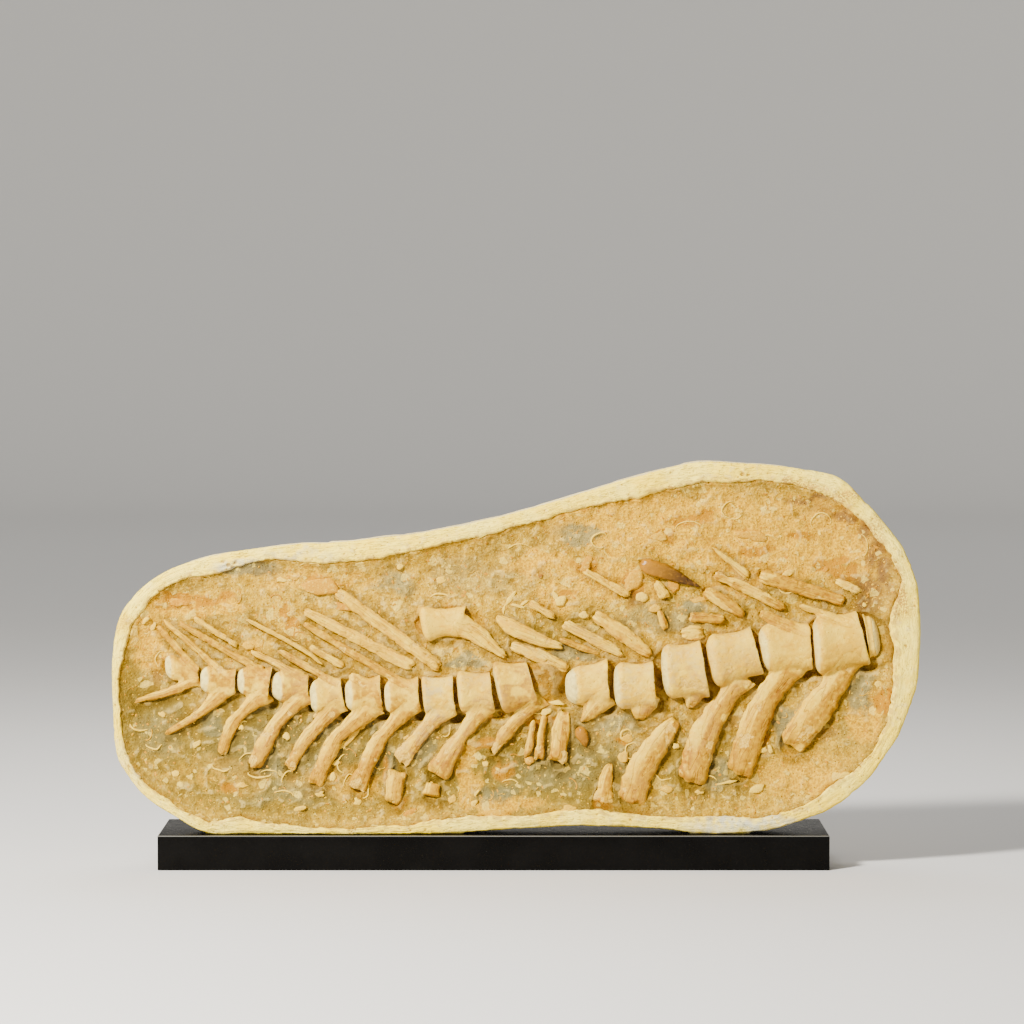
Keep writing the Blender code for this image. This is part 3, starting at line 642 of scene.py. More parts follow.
def bone_finish():
    """Fossil bone: cream, with amber and grey stains, worn patches and cracks along the grain; the amber is
    partly painted shade on the lower faces, and the grooves carry painted shade.
    """
    bone = Finish("fossil_bone", {"Specular IOR Level": 0.12})
    grain = bone.node("ShaderNodeAttribute", {"attribute_name": "grain"}, output="Vector")
    streak_place = bone.node("ShaderNodeVectorMath", {"operation": "MULTIPLY"}, {
        0: grain, 1: (0.05, 0.55, 1.0)})
    crack_place = bone.node("ShaderNodeVectorMath", {"operation": "MULTIPLY"}, {
        0: grain, 1: (0.022, 0.26, 1.0)})
    streak = bone.node("ShaderNodeTexNoise", None, {"Vector": streak_place, "Scale": 1.0, "Detail": 3.0})
    split = bone.node("ShaderNodeTexNoise", None, {"Vector": crack_place, "Scale": 1.0, "Detail": 1.0})
    crack = (split - 0.5).work("ABSOLUTE", split - 0.5).step(0.012, 0.003) * bone.painted("long")
    patch = bone.speckle(15.0)
    mottle = bone.speckle(4.5, 5.0)
    fine = bone.speckle(1.1, 3.0)
    colour = bone.blend(patch.step(0.38, 0.62), (0.66, 0.375, 0.005, 1.0), (0.71, 0.445, 0.025, 1.0))
    colour = bone.blend(mottle.step(0.45, 0.68) * 0.7, colour, (0.80, 0.53, 0.04, 1.0))
    amber = bone.painted("amber")
    warm = bone.blend(mottle.step(0.35, 0.65), (0.50, 0.26, 0.0005, 1.0), (0.38, 0.175, 0.0005, 1.0))
    # Amber where it is painted: the bone's stain, and on the lower faces painted shade as well.
    colour = bone.blend((amber * 1.6 * mottle.step(0.1, 0.55)).step(0.05, 0.8), colour, warm)
    grey = bone.painted("grey")
    colour = bone.blend(grey * mottle.step(0.3, 0.6), colour, (0.46, 0.35, 0.17, 1.0))
    colour = bone.darken(streak.step(0.54, 0.68) * 0.4, colour, (0.7, 0.5, 0.25, 1.0))
    # Painted shade in the grooves along the processes.
    colour = bone.darken(bone.painted("shaded_groove") * mottle.step(0.2, 0.55) * 0.45, colour,
                         (0.66, 0.47, 0.25, 1.0))
    scar = bone.painted("scar")
    worn = bone.blend(fine.step(0.4, 0.6), (0.52, 0.29, 0.02, 1.0), (0.66, 0.42, 0.06, 1.0))
    colour = bone.blend(scar.step(0.3, 0.7), colour, worn)
    colour = bone.darken(crack * 0.45, colour, (0.45, 0.28, 0.14, 1.0))
    white = bone.painted("white")
    chalk = bone.blend(mottle.step(0.35, 0.7), (0.74, 0.59, 0.17, 1.0), (0.52, 0.40, 0.12, 1.0))
    colour = bone.blend(white, colour, chalk)
    pore = bone.cells(3.4).step(0.15, 0.05)
    colour = bone.darken(pore * 0.7, colour, (0.42, 0.24, 0.1, 1.0))
    height = streak * 0.7 + mottle * 0.6 + fine * 0.5 - pore * 0.5 - crack * 0.6
    bone.feed(colour, mottle * 0.25 + 0.42, bone.relief(height, 0.7))
    return bone.material


bone_material = bone_finish()


def settle(piece, node, material):
    """Finish a piece: its material, the body that it rides on and the solid that it stands for."""
    piece.data.materials.clear()
    piece.data.materials.append(material)
    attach(piece, "root")
    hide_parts(node)


def make_vertebra(name, bone, node, seed):
    """One vertebra with its processes, as one piece of bone."""
    parts = []
    forms = [body_form(bone, parts)]
    if bone.spine:
        forms.append(bar_form(bone.spine, "spine", parts))
    if bone.arch:
        forms.append(bar_form(bone.arch, "arch", parts))
    piece = add_piece(name, mesh_from(name, forms))
    finish_bone(piece, parts, bone.stain, seed)
    settle(piece, node, bone_material)


for node, first, last in TAIL_LENGTHS:
    for number in range(first, last):
        make_vertebra(f"vertebra_{number + 1}", VERTEBRAE[number], node, 100 + number * 17)


# One vertebra was turned on its side before burial, and lies above the run with a process to the
# right. It is the same stained bone.

DISPLACED = Vertebra((321, 228), (328, 193), (367, 229), (357, 197), 4,
                     ((356, 212, 25), (371, 204, 20), (388, 192, 14), (405, 178, 7)), (),
                     (0.15, 0.1, 0.0, 0.0))
make_vertebra("turned_vertebra", DISPLACED, "displaced_vertebra", 41)


# Loose neural spines, broken haemal plates and chips lie round the run. They are the same fossil
# bone, broken before burial and sunk in the rock to about half their thickness.

LOOSE_BONES = {
    "loose_spine_1": (((93, 217, 6), (136, 189, 6)), 0.25, 0.0),
    "loose_spine_2": (((145, 216, 4.5), (200, 186, 5), (222, 169.5, 4)), 0.2, 0.0),
    "loose_spine_3": (((209, 188, 8), (243, 167.5, 7)), 0.35, 0.0),
    "loose_spine_4": (((204, 224, 9), (258, 196, 12), (311, 168, 13)), 0.3, 0.0),
    "loose_spine_5": (((236, 243, 11), (288, 205, 13), (338, 168, 12)), 0.3, 0.0),
    "loose_spine_6": (((396, 218, 8), (415, 206, 16), (440, 195, 13), (462, 188, 6)), 0.15, 0.0),
    "loose_spine_7": (((412, 189, 9), (430, 182, 12), (450, 174, 13), (466, 166, 9)), 0.05, 0.3),
    "loose_spine_8": (((430, 232, 8), (454, 218, 8)), 0.15, 0.0),
    "loose_spine_9": (((464, 211, 11), (495, 195, 12), (523, 180, 9)), 0.3, 0.2),
    "loose_spine_10": (((460, 195, 5), (482, 187, 6), (500, 180.5, 4)), 0.6, 0.0),
    "loose_spine_11": (((495, 220, 13), (525, 199, 15), (551, 180, 10)), 0.4, 0.0),
    "loose_spine_12": (((484, 265, 7), (529, 240, 9)), 0.2, 0.0),
    "loose_spine_13": (((590, 218, 11), (626, 215, 9)), 0.8, 0.0),
    "loose_spine_14": (((605, 244, 12), (628, 231, 13), (646, 219, 9)), 0.9, 0.0),
    "loose_spine_15": (((615, 261, 9), (650, 245, 11), (686, 226, 9)), 0.5, 0.0),
    "loose_spine_16": (((613, 288, 3), (632, 273, 8), (650, 258, 9)), 0.1, 0.1),
    "loose_spine_17": (((660, 260, 14), (705, 246, 13), (748, 233, 10)), 1.0, 0.0),
    "loose_spine_18": (((738, 254, 9), (761, 243, 9)), 0.05, 0.2),
    "bone_chip": (((560, 224, 6), (566, 206, 7)), 0.5, 0.0),
    "bone_wedge": (((556, 253, 8), (567, 236, 12)), 0.2, 0.0),
    "bone_knob": (((582, 201, 12), (593, 202, 14), (604, 202, 11)), 0.15, 0.0),
    "haemal_piece_1": (((297, 61.5, 17), (294, 47, 19), (293, 31, 17)), 0.5, 0.1),
    "haemal_piece_2": (((333, 51, 16), (330, 36, 18)), 0.7, 0.0),
    "haemal_piece_3": (((434, 114, 6), (431, 98, 7), (427, 76, 8)), 0.5, 0.1),
    "haemal_piece_4": (((445, 118, 6), (441, 98, 7), (439, 74, 10)), 0.9, 0.0),
    "haemal_piece_5": (((464, 122, 11), (461, 103, 16), (458, 71, 21)), 0.9, 0.0),
    "haemal_piece_6": (((511, 70, 5), (507, 56, 14), (503, 28, 24)), 0.7, 0.0),
    "haemal_piece_7": (((577, 113, 10), (562, 95, 21), (541, 62, 31), (532, 30, 26)), 0.75, 0.1),
}


def make_loose_bone(name, rows, stain, seed, material=None):
    """One loose bone, with the ridge of an arch where it is a haemal plate."""
    parts = []
    kind = "plate" if name.startswith(("haemal", "bone_chip")) else "spine"
    form = bar_form(rows, kind, parts)
    piece = add_piece(name + "_fossil", mesh_from(name, [form]))
    finish_bone(piece, parts, stain, seed)
    settle(piece, name, material or bone_material)


for number, (name, (rows, amber, grey)) in enumerate(LOOSE_BONES.items()):
    make_loose_bone(name, rows, (amber, amber, grey, 0.0), 700 + number * 13)


# A fish fang and a small tooth lie among the bones. They are enamel over dentine, brown and
# shiny, paler towards the root, and stick to the rock as they fell.

TEETH = {
    "fish_fang": ((541, 273, 10), (551, 268, 16), (570, 262, 14), (590, 253, 8), (601, 248, 2)),
    "fish_tooth": ((478, 107, 9), (482, 99, 13), (488, 87, 4)),
}


def tooth_finish():
    """Tooth enamel: amber at the root and dark brown at the tip, with a shine."""
    tooth = Finish("tooth_enamel", {"Specular IOR Level": 0.2, "Coat Weight": 0.05, "Coat Roughness": 0.3})
    grain = tooth.node("ShaderNodeAttribute", {"attribute_name": "grain"}, output="Vector")
    apart = tooth.node("ShaderNodeSeparateXYZ", None, {"Vector": grain}, "X")
    mottle = tooth.speckle(5.0, 4.0)
    fine = tooth.speckle(1.2, 3.0)
    tip = (apart + mottle * 16).step(14.0, 56.0)
    colour = tooth.blend(tip, (0.28, 0.115, 0.0005, 1.0), (0.055, 0.022, 0.002, 1.0))
    colour = tooth.blend(mottle.step(0.52, 0.75) * 0.5, colour, (0.42, 0.18, 0.001, 1.0))
    colour = tooth.darken(fine.step(0.6, 0.75) * 0.4, colour, (0.4, 0.25, 0.15, 1.0))
    tooth.feed(colour, mottle * 0.3 + 0.18, tooth.relief(fine + mottle, 0.2))
    return tooth.material


tooth_material = tooth_finish()
for number, (name, rows) in enumerate(TEETH.items()):
    make_loose_bone(name, rows, (0.0, 0.0, 0.0, 0.0), 900 + number, tooth_material)


# The rock is a sandy phosphate bed full of shell bits and fish remains. It was picked away round
# the bones with small tools, which left it hollowed next to them and rough everywhere; its colour
# carries a painted shadow to the lower right of each bone.

JACKET_EDGE = (
    (105, 1.0, 14), (75, 17, 10), (45, 37, 11), (25, 61, 12), (14, 86, 11), (11, 156, 8),
    (12, 186, 13), (18, 216, 17), (30, 236, 18), (50, 255, 15), (80, 271, 17), (120, 282, 19),
    (160, 288, 13), (200, 292.5, 20), (240, 294, 22), (280, 298.5, 22), (320, 303, 17),
    (400, 319.5, 16), (480, 342.5, 17), (520, 355, 21), (560, 366, 23), (600, 374.5, 23),
    (640, 373, 20), (680, 370, 17), (720, 364, 22), (741, 357, 25), (765, 336, 18),
    (788, 309, 17), (806, 284, 15), (817, 256, 18), (821, 216, 32), (820.5, 176, 27),
    (815, 136, 24), (797, 94, 16), (770, 56, 17), (740, 30, 20), (710, 16, 15), (675, 5, 15),
    (640, 0.6, 17), (600, 0.6, 17.5), (560, 5, 15), (520, 7, 14), (480, 8, 17), (440, 6.5, 14.5),
    (400, 4, 16), (355, 1, 17), (300, 0, 9), (220, 0, 7.5), (180, 0, 11), (140, 0, 17),
)
EDGE_STEP = 1.85
ROCK_CELL = 1.65
ROCK_EDGE_DEPTH = 2.8
ROCK_EDGE_BLEND = 13.0
ROCK_UNDER_RIM = 3.0
ROCK_BACK = 61.0
ROCK_MIDDLE = (425.0, 190.0, ROCK_BACK)
ROCK_TAPER = 0.02
# How far the painted shadow of the bones is shifted, so that it falls to their lower right.
SHADOW_SHIFT = (-3.5, 3.0)

edge = curve(JACKET_EDGE, EDGE_STEP, closed=True)
edge_run = np.roll(edge[:, :2], -1, 0) - np.roll(edge[:, :2], 1, 0)
edge_run /= np.hypot(*edge_run.T)[:, None]
edge_inward = np.stack([edge_run[:, 1], -edge_run[:, 0]], 1)
edge_reach = np.arange(len(edge)) * EDGE_STEP


def round_the_edge(size, seed):
    """Noise along the jacket's edge that meets itself where it closes."""
    ring = 2 * math.pi * edge_reach / (len(edge) * EDGE_STEP)
    radius = len(edge) * EDGE_STEP / (2 * math.pi)
    return wander(np.stack([np.cos(ring), np.sin(ring)], 1) * radius, size, seed)


rim_width = edge[:, 2] + 1.6 * round_the_edge(17.0, 2) + 1.1 * round_the_edge(6.0, 3)
rim_width += 0.5 * round_the_edge(2.8, 7)
rock_line = edge[:, :2] + edge_inward * rim_width[:, None]

# Where the rock's colour changes: centre u, v, reach along u and v, and strength.
ROCK_ZONES = {
    "ochre": (
        (530, 306, 80, 24, 0.9), (90, 229, 50, 9, 1.0), (150, 186, 11, 9, 0.9),
        (366, 62, 12, 40, 0.8), (405, 27, 34, 8, 0.7), (515, 262, 26, 18, 0.8),
        (690, 283, 50, 12, 0.9), (640, 255, 40, 20, 0.6), (740, 320, 50, 20, 0.6),
        (510, 250, 60, 22, 0.6), (600, 285, 60, 20, 0.7), (700, 262, 26, 12, 0.9),
        (630, 290, 22, 10, 1.0), (440, 270, 40, 14, 0.6), (350, 215, 40, 14, 0.5),
        (50, 190, 18, 40, 0.6), (220, 255, 70, 12, 0.4), (455, 235, 30, 18, 0.5),
        (240, 50, 60, 16, 0.4), (700, 60, 60, 25, 0.4), (440, 150, 14, 30, 0.8),
        (560, 330, 60, 14, 0.6), (130, 60, 60, 20, 0.3), (770, 120, 18, 30, 0.6),
        (650, 300, 150, 45, 0.5), (755, 280, 34, 40, 0.5), (447, 155, 17, 17, 0.9),
    ),
    "amber": (
        (725, 266, 8, 7, 1.0), (658, 288, 15, 5, 1.0), (222, 251, 16, 8, 0.8),
        (75, 233, 20, 7, 0.8), (485, 271, 12, 10, 0.7), (533, 252, 9, 14, 0.9),
        (500, 33, 12, 6, 0.4), (130, 48, 10, 7, 0.5), (300, 30, 10, 6, 0.4), (385, 118, 6, 8, 0.9),
        (387, 92, 14, 10, 0.7), (525, 93, 5, 5, 0.6), (790, 135, 14, 12, 0.6),
        (420, 168, 8, 7, 0.9), (110, 236, 30, 5, 0.6), (590, 313, 30, 7, 0.6),
        (565, 296, 16, 7, 0.8), (700, 300, 14, 6, 0.8), (755, 262, 8, 6, 0.7), (738, 268, 10, 7, 0.8),
        (598, 318, 22, 5, 0.7), (470, 238, 10, 6, 0.6), (190, 212, 9, 12, 0.8), (183, 228, 8, 8, 0.5),
        (285, 62, 6, 14, 0.5), (442, 108, 16, 6, 0.7), (404, 62, 12, 12, 0.5), (664, 105, 5, 18, 0.5),
    ),
    "grey": (
        (365, 172, 24, 9, 0.9), (476, 299, 22, 11, 0.9), (594, 227, 15, 10, 0.9),
        (112, 106, 16, 13, 0.8), (170, 74, 9, 17, 0.9), (158, 126, 12, 10, 0.8),
        (222, 106, 19, 9, 0.8), (292, 64, 9, 24, 0.8), (322, 86, 15, 19, 0.8),
        (395, 38, 24, 12, 0.6), (686, 108, 10, 26, 0.9), (764, 146, 13, 24, 0.9),
        (143, 266, 34, 8, 0.9), (450, 60, 60, 22, 0.4),
        (270, 90, 9, 22, 0.7), (520, 110, 30, 10, 0.6), (60, 100, 30, 30, 0.4),
        (380, 260, 60, 20, 0.3), (620, 60, 14, 24, 0.6), (760, 40, 30, 20, 0.2),
        (180, 80, 90, 40, 0.35), (500, 90, 60, 40, 0.35), (560, 215, 50, 14, 0.45),
        (190, 40, 60, 14, 0.4), (290, 250, 26, 12, 0.5), (470, 182, 24, 7, 0.7),
    ),
    # Dull: the rock's darker olive over the left and lower part of the bed, partly its own tone and partly
    # painted shade.
    "dull_and_shaded": (
        (180, 80, 150, 75, 0.9), (430, 60, 130, 45, 0.9), (600, 70, 70, 40, 0.6), (50, 120, 50, 60, 0.8),
        (760, 110, 30, 50, 0.3), (450, 205, 60, 20, 0.4), (300, 110, 120, 30, 0.6),
    ),
    "iron": (
        (451, 156, 15, 17, 0.6), (437, 165, 8, 8, 0.4), (462, 142, 12, 7, 0.5),
        (770, 251, 16, 16, 1.0), (766, 232, 12, 10, 1.0), (735, 325, 34, 10, 0.5),
        (708, 338, 26, 5, 1.0), (742, 323, 14, 8, 1.0), (765, 305, 10, 12, 1.0), (779, 285, 8, 17, 1.0),
        (789, 260, 6, 22, 1.0), (20, 236, 16, 14, 0.4), (160, 262, 20, 6, 0.2),
        (440, 262, 6, 6, 0.6), (537, 235, 7, 8, 0.8), (50, 155, 8, 7, 0.7), (105, 132, 6, 5, 0.3),
        (724, 101, 14, 10, 0.6), (630, 116, 8, 16, 0.6), (562, 160, 4, 24, 0.8),
    ),
}

# Holes below the joints, where the next haemal arch leaves room: u, v, two reaches and depth.
JOINT_HOLES = (
    (246, 120, 6, 5, 8), (284, 118, 8, 5, 9), (321, 118, 6, 5, 9), (358, 115, 8, 5, 9),
    (213, 128, 6, 6, 7), (173, 131, 5, 6, 5), (508, 126, 7, 6, 8), (609, 137, 6, 5, 8),
    (660, 154, 8, 7, 9), (707, 161, 9, 6, 9), (722, 163, 7, 5, 7), (770, 167, 8, 5, 7),
    (561, 128, 4, 6, 6), (384, 122, 6, 4, 5), (400, 118, 7, 5, 6), (447, 154, 17, 19, -10),
)


def to_edge(points):
    """How far inside the rock's outline each point lies, below nought outside it."""
    nearest = np.empty(len(points), int)
    for start in range(0, len(points), 20000):
        part = points[start:start + 20000]
        away = (part[:, None, 0] - rock_line[None, :, 0]) ** 2
        away += (part[:, None, 1] - rock_line[None, :, 1]) ** 2
        nearest[start:start + 20000] = away.argmin(1)
    gone = points - rock_line[nearest]
    side = (gone * edge_inward[nearest]).sum(1)
    return np.hypot(*gone.T) * np.sign(side)


def to_bones(points):
    """How far each point lies from the edge of the nearest bone, below nought under one."""
    nearest = np.full(len(points), 40.0)
    for line in bone_lines:
        reach = 22.0 + line[:, 2].max()
        low, high = line[:, :2].min(0) - reach, line[:, :2].max(0) + reach
        inside = np.flatnonzero(((points > low) & (points < high)).all(1))
        if len(inside):
            away = points[inside, None, :] - line[None, :, :2]
            gap = (np.hypot(away[..., 0], away[..., 1]) - line[None, :, 2]).min(1)
            nearest[inside] = np.minimum(nearest[inside], gap)
    return nearest


def zone(points, name):
    """How strong one of the rock's colours is at each point."""
    ragged = points + 7.0 * np.stack([wander(points, 16.0, 61), wander(points, 16.0, 62)], 1)
    ragged += 2.5 * np.stack([wander(points, 5.0, 63), wander(points, 5.0, 64)], 1)
    total = np.zeros(len(points))
    for centre_u, centre_v, reach_u, reach_v, strength in ROCK_ZONES[name]:
        far = ((ragged[:, 0] - centre_u) / reach_u) ** 2 + ((ragged[:, 1] - centre_v) / reach_v) ** 2
        total = np.maximum(total, strength * np.exp(-far * far))
    return total


def rock_surface(points):
    """The depth of the rock's face at each point, and how far it lies from the bones."""
    inside = to_edge(points)
    gap = to_bones(points)
    near = np.exp(-np.maximum(inside, 0) / ROCK_EDGE_BLEND)
    broad = 1.5 * roughness(points, 42.0, 11, 3)
    ragged = points + 4.0 * np.stack([wander(points, 14.0, 71), wander(points, 14.0, 72)], 1)
    lumps = 0.9 * roughness(ragged, 15.0, 13, 2)
    facets = 1.5 * np.abs(wander(ragged * (1.0, 1.5), 21.0, 14)) - 0.4
    facets += 0.7 * np.abs(wander(ragged * (1.4, 1.0), 9.0, 17))
    picked = 0.8 * smooth_step(wander(ragged, 7.0, 18), 0.3, 0.5)
    fine = 0.3 * wander(points, 4.4, 15) + 0.15 * wander(points, 2.6, 16)
    calm = 1 - 0.6 * np.exp(-((points[:, 0] - 740) / 80) ** 2 - ((points[:, 1] - 70) / 50) ** 2)
    depth = ground(*points.T) * (1 - near) + ROCK_EDGE_DEPTH * near
    depth += broad * (1 - near) + calm * (lumps + facets - 0.3 - picked + fine)
    dug = 0.5 + 0.5 * smooth_step(wander(points, 19.0, 19), -0.5, 0.5)
    depth += 1.5 * dug * np.exp(-(np.maximum(gap, 0) / 7.0) ** 2)
    depth += 2.2 * smooth_step(-gap, 1.5, 4.0)
    depth += 2.4 * smooth_step(-inside, 0.0, ROCK_UNDER_RIM)
    for centre_u, centre_v, reach_u, reach_v, deep in JOINT_HOLES:
        far = ((points[:, 0] - centre_u) / reach_u) ** 2 + ((points[:, 1] - centre_v) / reach_v) ** 2
        depth += deep * np.exp(-far * far)
    return depth, gap, inside


def rock_mesh():
    """The rock's face on a fine grid, with plain sides and back out of sight."""
    across = np.arange(8.0, 826.0, ROCK_CELL)
    up = np.arange(4.0, 380.0, ROCK_CELL)
    shift = np.stack(np.meshgrid(across, up, indexing="ij"), -1)
    flat = shift.reshape(-1, 2)
    depth, gap, inside = rock_surface(flat)
    kept = (inside > -ROCK_UNDER_RIM).reshape(len(across), len(up))
    square = kept[:-1, :-1] & kept[1:, :-1] & kept[:-1, 1:] & kept[1:, 1:]
    number = np.arange(len(flat)).reshape(len(across), len(up))
    quads = np.stack([number[:-1, :-1], number[1:, :-1], number[1:, 1:], number[:-1, 1:]], -1)[square]
    used = np.unique(quads)
    renumber = np.full(len(flat), -1)
    renumber[used] = np.arange(len(used))
    mesh = bpy.data.meshes.new("rock_bed")
    points = np.column_stack([flat[used], depth[used]])
    mesh.from_pydata(on_slab(points).tolist(), [], renumber[quads].tolist())
    built = bmesh.new()
    built.from_mesh(mesh)
    lone = [vert for vert in built.verts if not vert.link_faces]
    bmesh.ops.delete(built, geom=lone)
    border = [border_edge for border_edge in built.edges if border_edge.is_boundary]
    grown = bmesh.ops.extrude_edge_only(built, edges=border)["geom"]
    middle = on_slab(np.array([ROCK_MIDDLE]))[0]
    for thing in grown:
        if isinstance(thing, bmesh.types.BMVert):
            thing.co.x += (middle[0] - thing.co.x) * ROCK_TAPER
            thing.co.y = middle[1]
            thing.co.z += (middle[2] - thing.co.z) * ROCK_TAPER
    rear = [thing for thing in grown if isinstance(thing, bmesh.types.BMEdge) and thing.is_boundary]
    bmesh.ops.contextual_create(built, geom=rear)
    bmesh.ops.recalc_face_normals(built, faces=built.faces)
    bmesh.ops.triangulate(built, faces=[face for face in built.faces if len(face.verts) > 4])
    built.to_mesh(mesh)
    built.free()
    return mesh


def paint_rock(mesh):
    """Store the rock's colours, its small highs and lows for painted shade and highlight, its bare places, its
    border and the painted shadow to the lower right of the bones at its points.
    """
    places = vertex_places(mesh)
    points = off_slab(places)
    flat = points[:, :2]
    for name in ROCK_ZONES:
        paint(mesh, name, zone(flat, name))
    # The small highs and lows of the face, stored for painted shade in the hollows and painted highlight on the
    # rises.
    level = relax(mesh, places, 14)
    inside = to_edge(flat)
    high = np.clip((level - places)[:, 1] / (0.7 * MM), -1, 1) * smooth_step(inside, 2.0, 8.0)
    paint(mesh, "high", 0.5 + 0.5 * high)
    gap = to_bones(flat)
    front = points[:, 2] < ROCK_BACK - 2
    bare = smooth_step(gap, 1.0, 4.0) * smooth_step(inside, 1.0, 4.0) * front
    paint(mesh, "bare", bare)
    paint(mesh, "border", smooth_step(-inside, -6.0, 0.0))
    # Painted shadow to the lower right of each bone, from the distance to the bones seen from a place shifted up
    # and left.
    shadow_gap = to_bones(flat + SHADOW_SHIFT)
    paint(mesh, "bone_shadow", np.exp(-(np.maximum(shadow_gap, 0) / 5.0) ** 2))


def rock_finish():
    """Sandy phosphate rock: tan, with ochre, amber, grey and iron stains and pale shell crumbs; its dull olive
    to the lower left is partly painted shade, and it has painted shade in its hollows and to the lower right of
    the bones and painted highlight on its rises.
    """
    rock = Finish("phosphate_rock", {"Specular IOR Level": 0.03})
    cloud = rock.speckle(26.0, 4.0)
    patch = rock.speckle(8.0, 5.0)
    grit = rock.speckle(2.2, 4.0)
    sand = rock.speckle(0.7, 2.0)
    high = rock.painted("high")
    colour = rock.blend(cloud.step(0.4, 0.6), (0.36, 0.22, 0.02, 1.0), (0.52, 0.30, 0.008, 1.0))
    colour = rock.blend(patch.step(0.5, 0.6) * 0.7, colour, (0.64, 0.385, 0.02, 1.0))
    colour = rock.blend(patch.step(0.46, 0.34) * 0.7, colour, (0.29, 0.16, 0.008, 1.0))
    colour = rock.blend(grit.step(0.55, 0.66) * 0.55, colour, (0.76, 0.52, 0.10, 1.0))
    colour = rock.darken(grit.step(0.46, 0.34) * 0.55, colour, (0.55, 0.4, 0.26, 1.0))
    colour = rock.darken(sand.step(0.5, 0.32) * 0.35, colour, (0.5, 0.38, 0.26, 1.0))
    # Darker olive where dull: partly the rock's own tone, partly painted shade towards the lower left.
    colour = rock.blend(rock.painted("dull_and_shaded") * cloud.step(0.25, 0.45) * 0.95, colour,
                        (0.165, 0.115, 0.018, 1.0))
    ochre = rock.painted("ochre")
    warm = rock.blend(grit.step(0.35, 0.65), (0.50, 0.245, 0.002, 1.0), (0.76, 0.42, 0.006, 1.0))
    colour = rock.blend((ochre * 1.8 * patch.step(0.2, 0.5)).step(0.1, 0.9), colour, warm)
    grey = rock.painted("grey")
    colour = rock.blend((grey * 1.5 * patch.step(0.15, 0.55)).step(0.05, 0.95) * 0.85, colour,
                        (0.215, 0.18, 0.07, 1.0))
    colour = rock.blend((rock.painted("amber") * 1.5 * patch.step(0.25, 0.5)).step(0.1, 0.7), colour,
                        (0.43, 0.187, 0.0005, 1.0))
    # Darker again where dull, partly as painted shade.
    colour = rock.darken(rock.painted("dull_and_shaded") * 0.9, colour, (0.80, 0.80, 0.70, 1.0))
    colour = rock.blend(rock.painted("iron") * grit.step(0.15, 0.5) * 0.9, colour,
                        (0.17, 0.08, 0.025, 1.0))
    # Painted shade in the small hollows of the face and painted highlight on its small rises.
    colour = rock.darken(high.step(0.5, 0.05) * 0.4, colour, (0.62, 0.52, 0.38, 1.0))
    colour = rock.blend(high.step(0.6, 1.0) * 0.35, colour, (0.80, 0.58, 0.16, 1.0))
    crumb = rock.cells(3.1).step(0.27, 0.16) * grit.step(0.46, 0.56) * cloud.step(0.4, 0.55)
    colour = rock.blend(crumb * 0.55, colour, (0.80, 0.58, 0.14, 1.0))
    dark = rock.cells(4.6).step(0.16, 0.08) * patch.step(0.42, 0.56)
    colour = rock.darken(dark * 0.7, colour, (0.3, 0.17, 0.09, 1.0))
    flake_spot = rock.place.work_vector("ADD", rock.node("ShaderNodeVectorMath", {
        "operation": "SCALE"}, {0: rock.speckle_colour(5.0), "Scale": 0.004}))
    for size, least in ((9.0, 0.95), (5.0, 0.94)):
        chance = rock.node("ShaderNodeSeparateXYZ", None, {
            "Vector": rock.cells(size, flake_spot, "Color")}, "X")
        flake = chance.step(least, least + 0.01) * rock.cell_borders(size, flake_spot).step(0.05, 0.08)
        colour = rock.blend(flake * 0.6, colour, (0.78, 0.55, 0.08, 1.0))
    # Painted shadow to the lower right of the bones.
    colour = rock.darken(rock.painted("bone_shadow") * 0.85, colour, (0.50, 0.45, 0.36, 1.0))
    colour = rock.darken(rock.painted("border") * patch.step(0.42, 0.6) * 0.6, colour,
                         (0.42, 0.27, 0.16, 1.0))
    height = patch * 1.1 + grit * 0.9 + sand * 0.4 + crumb * 0.5 + flake * 0.5 - dark * 0.8
    rock.feed(colour, grit * 0.2 + 0.74, rock.relief(height, 1.6))
    return rock.material


rock_bed = add_piece("rock_bed", rock_mesh())
paint_rock(rock_bed.data)
rock_bed.data.shade_smooth()
settle(rock_bed, "matrix", rock_finish())


# Chips of bone, shell and old wood stick out of the rock between the bones, pressed flat in it.
# Each is a small irregular lump, cream, yellow, orange or grey.

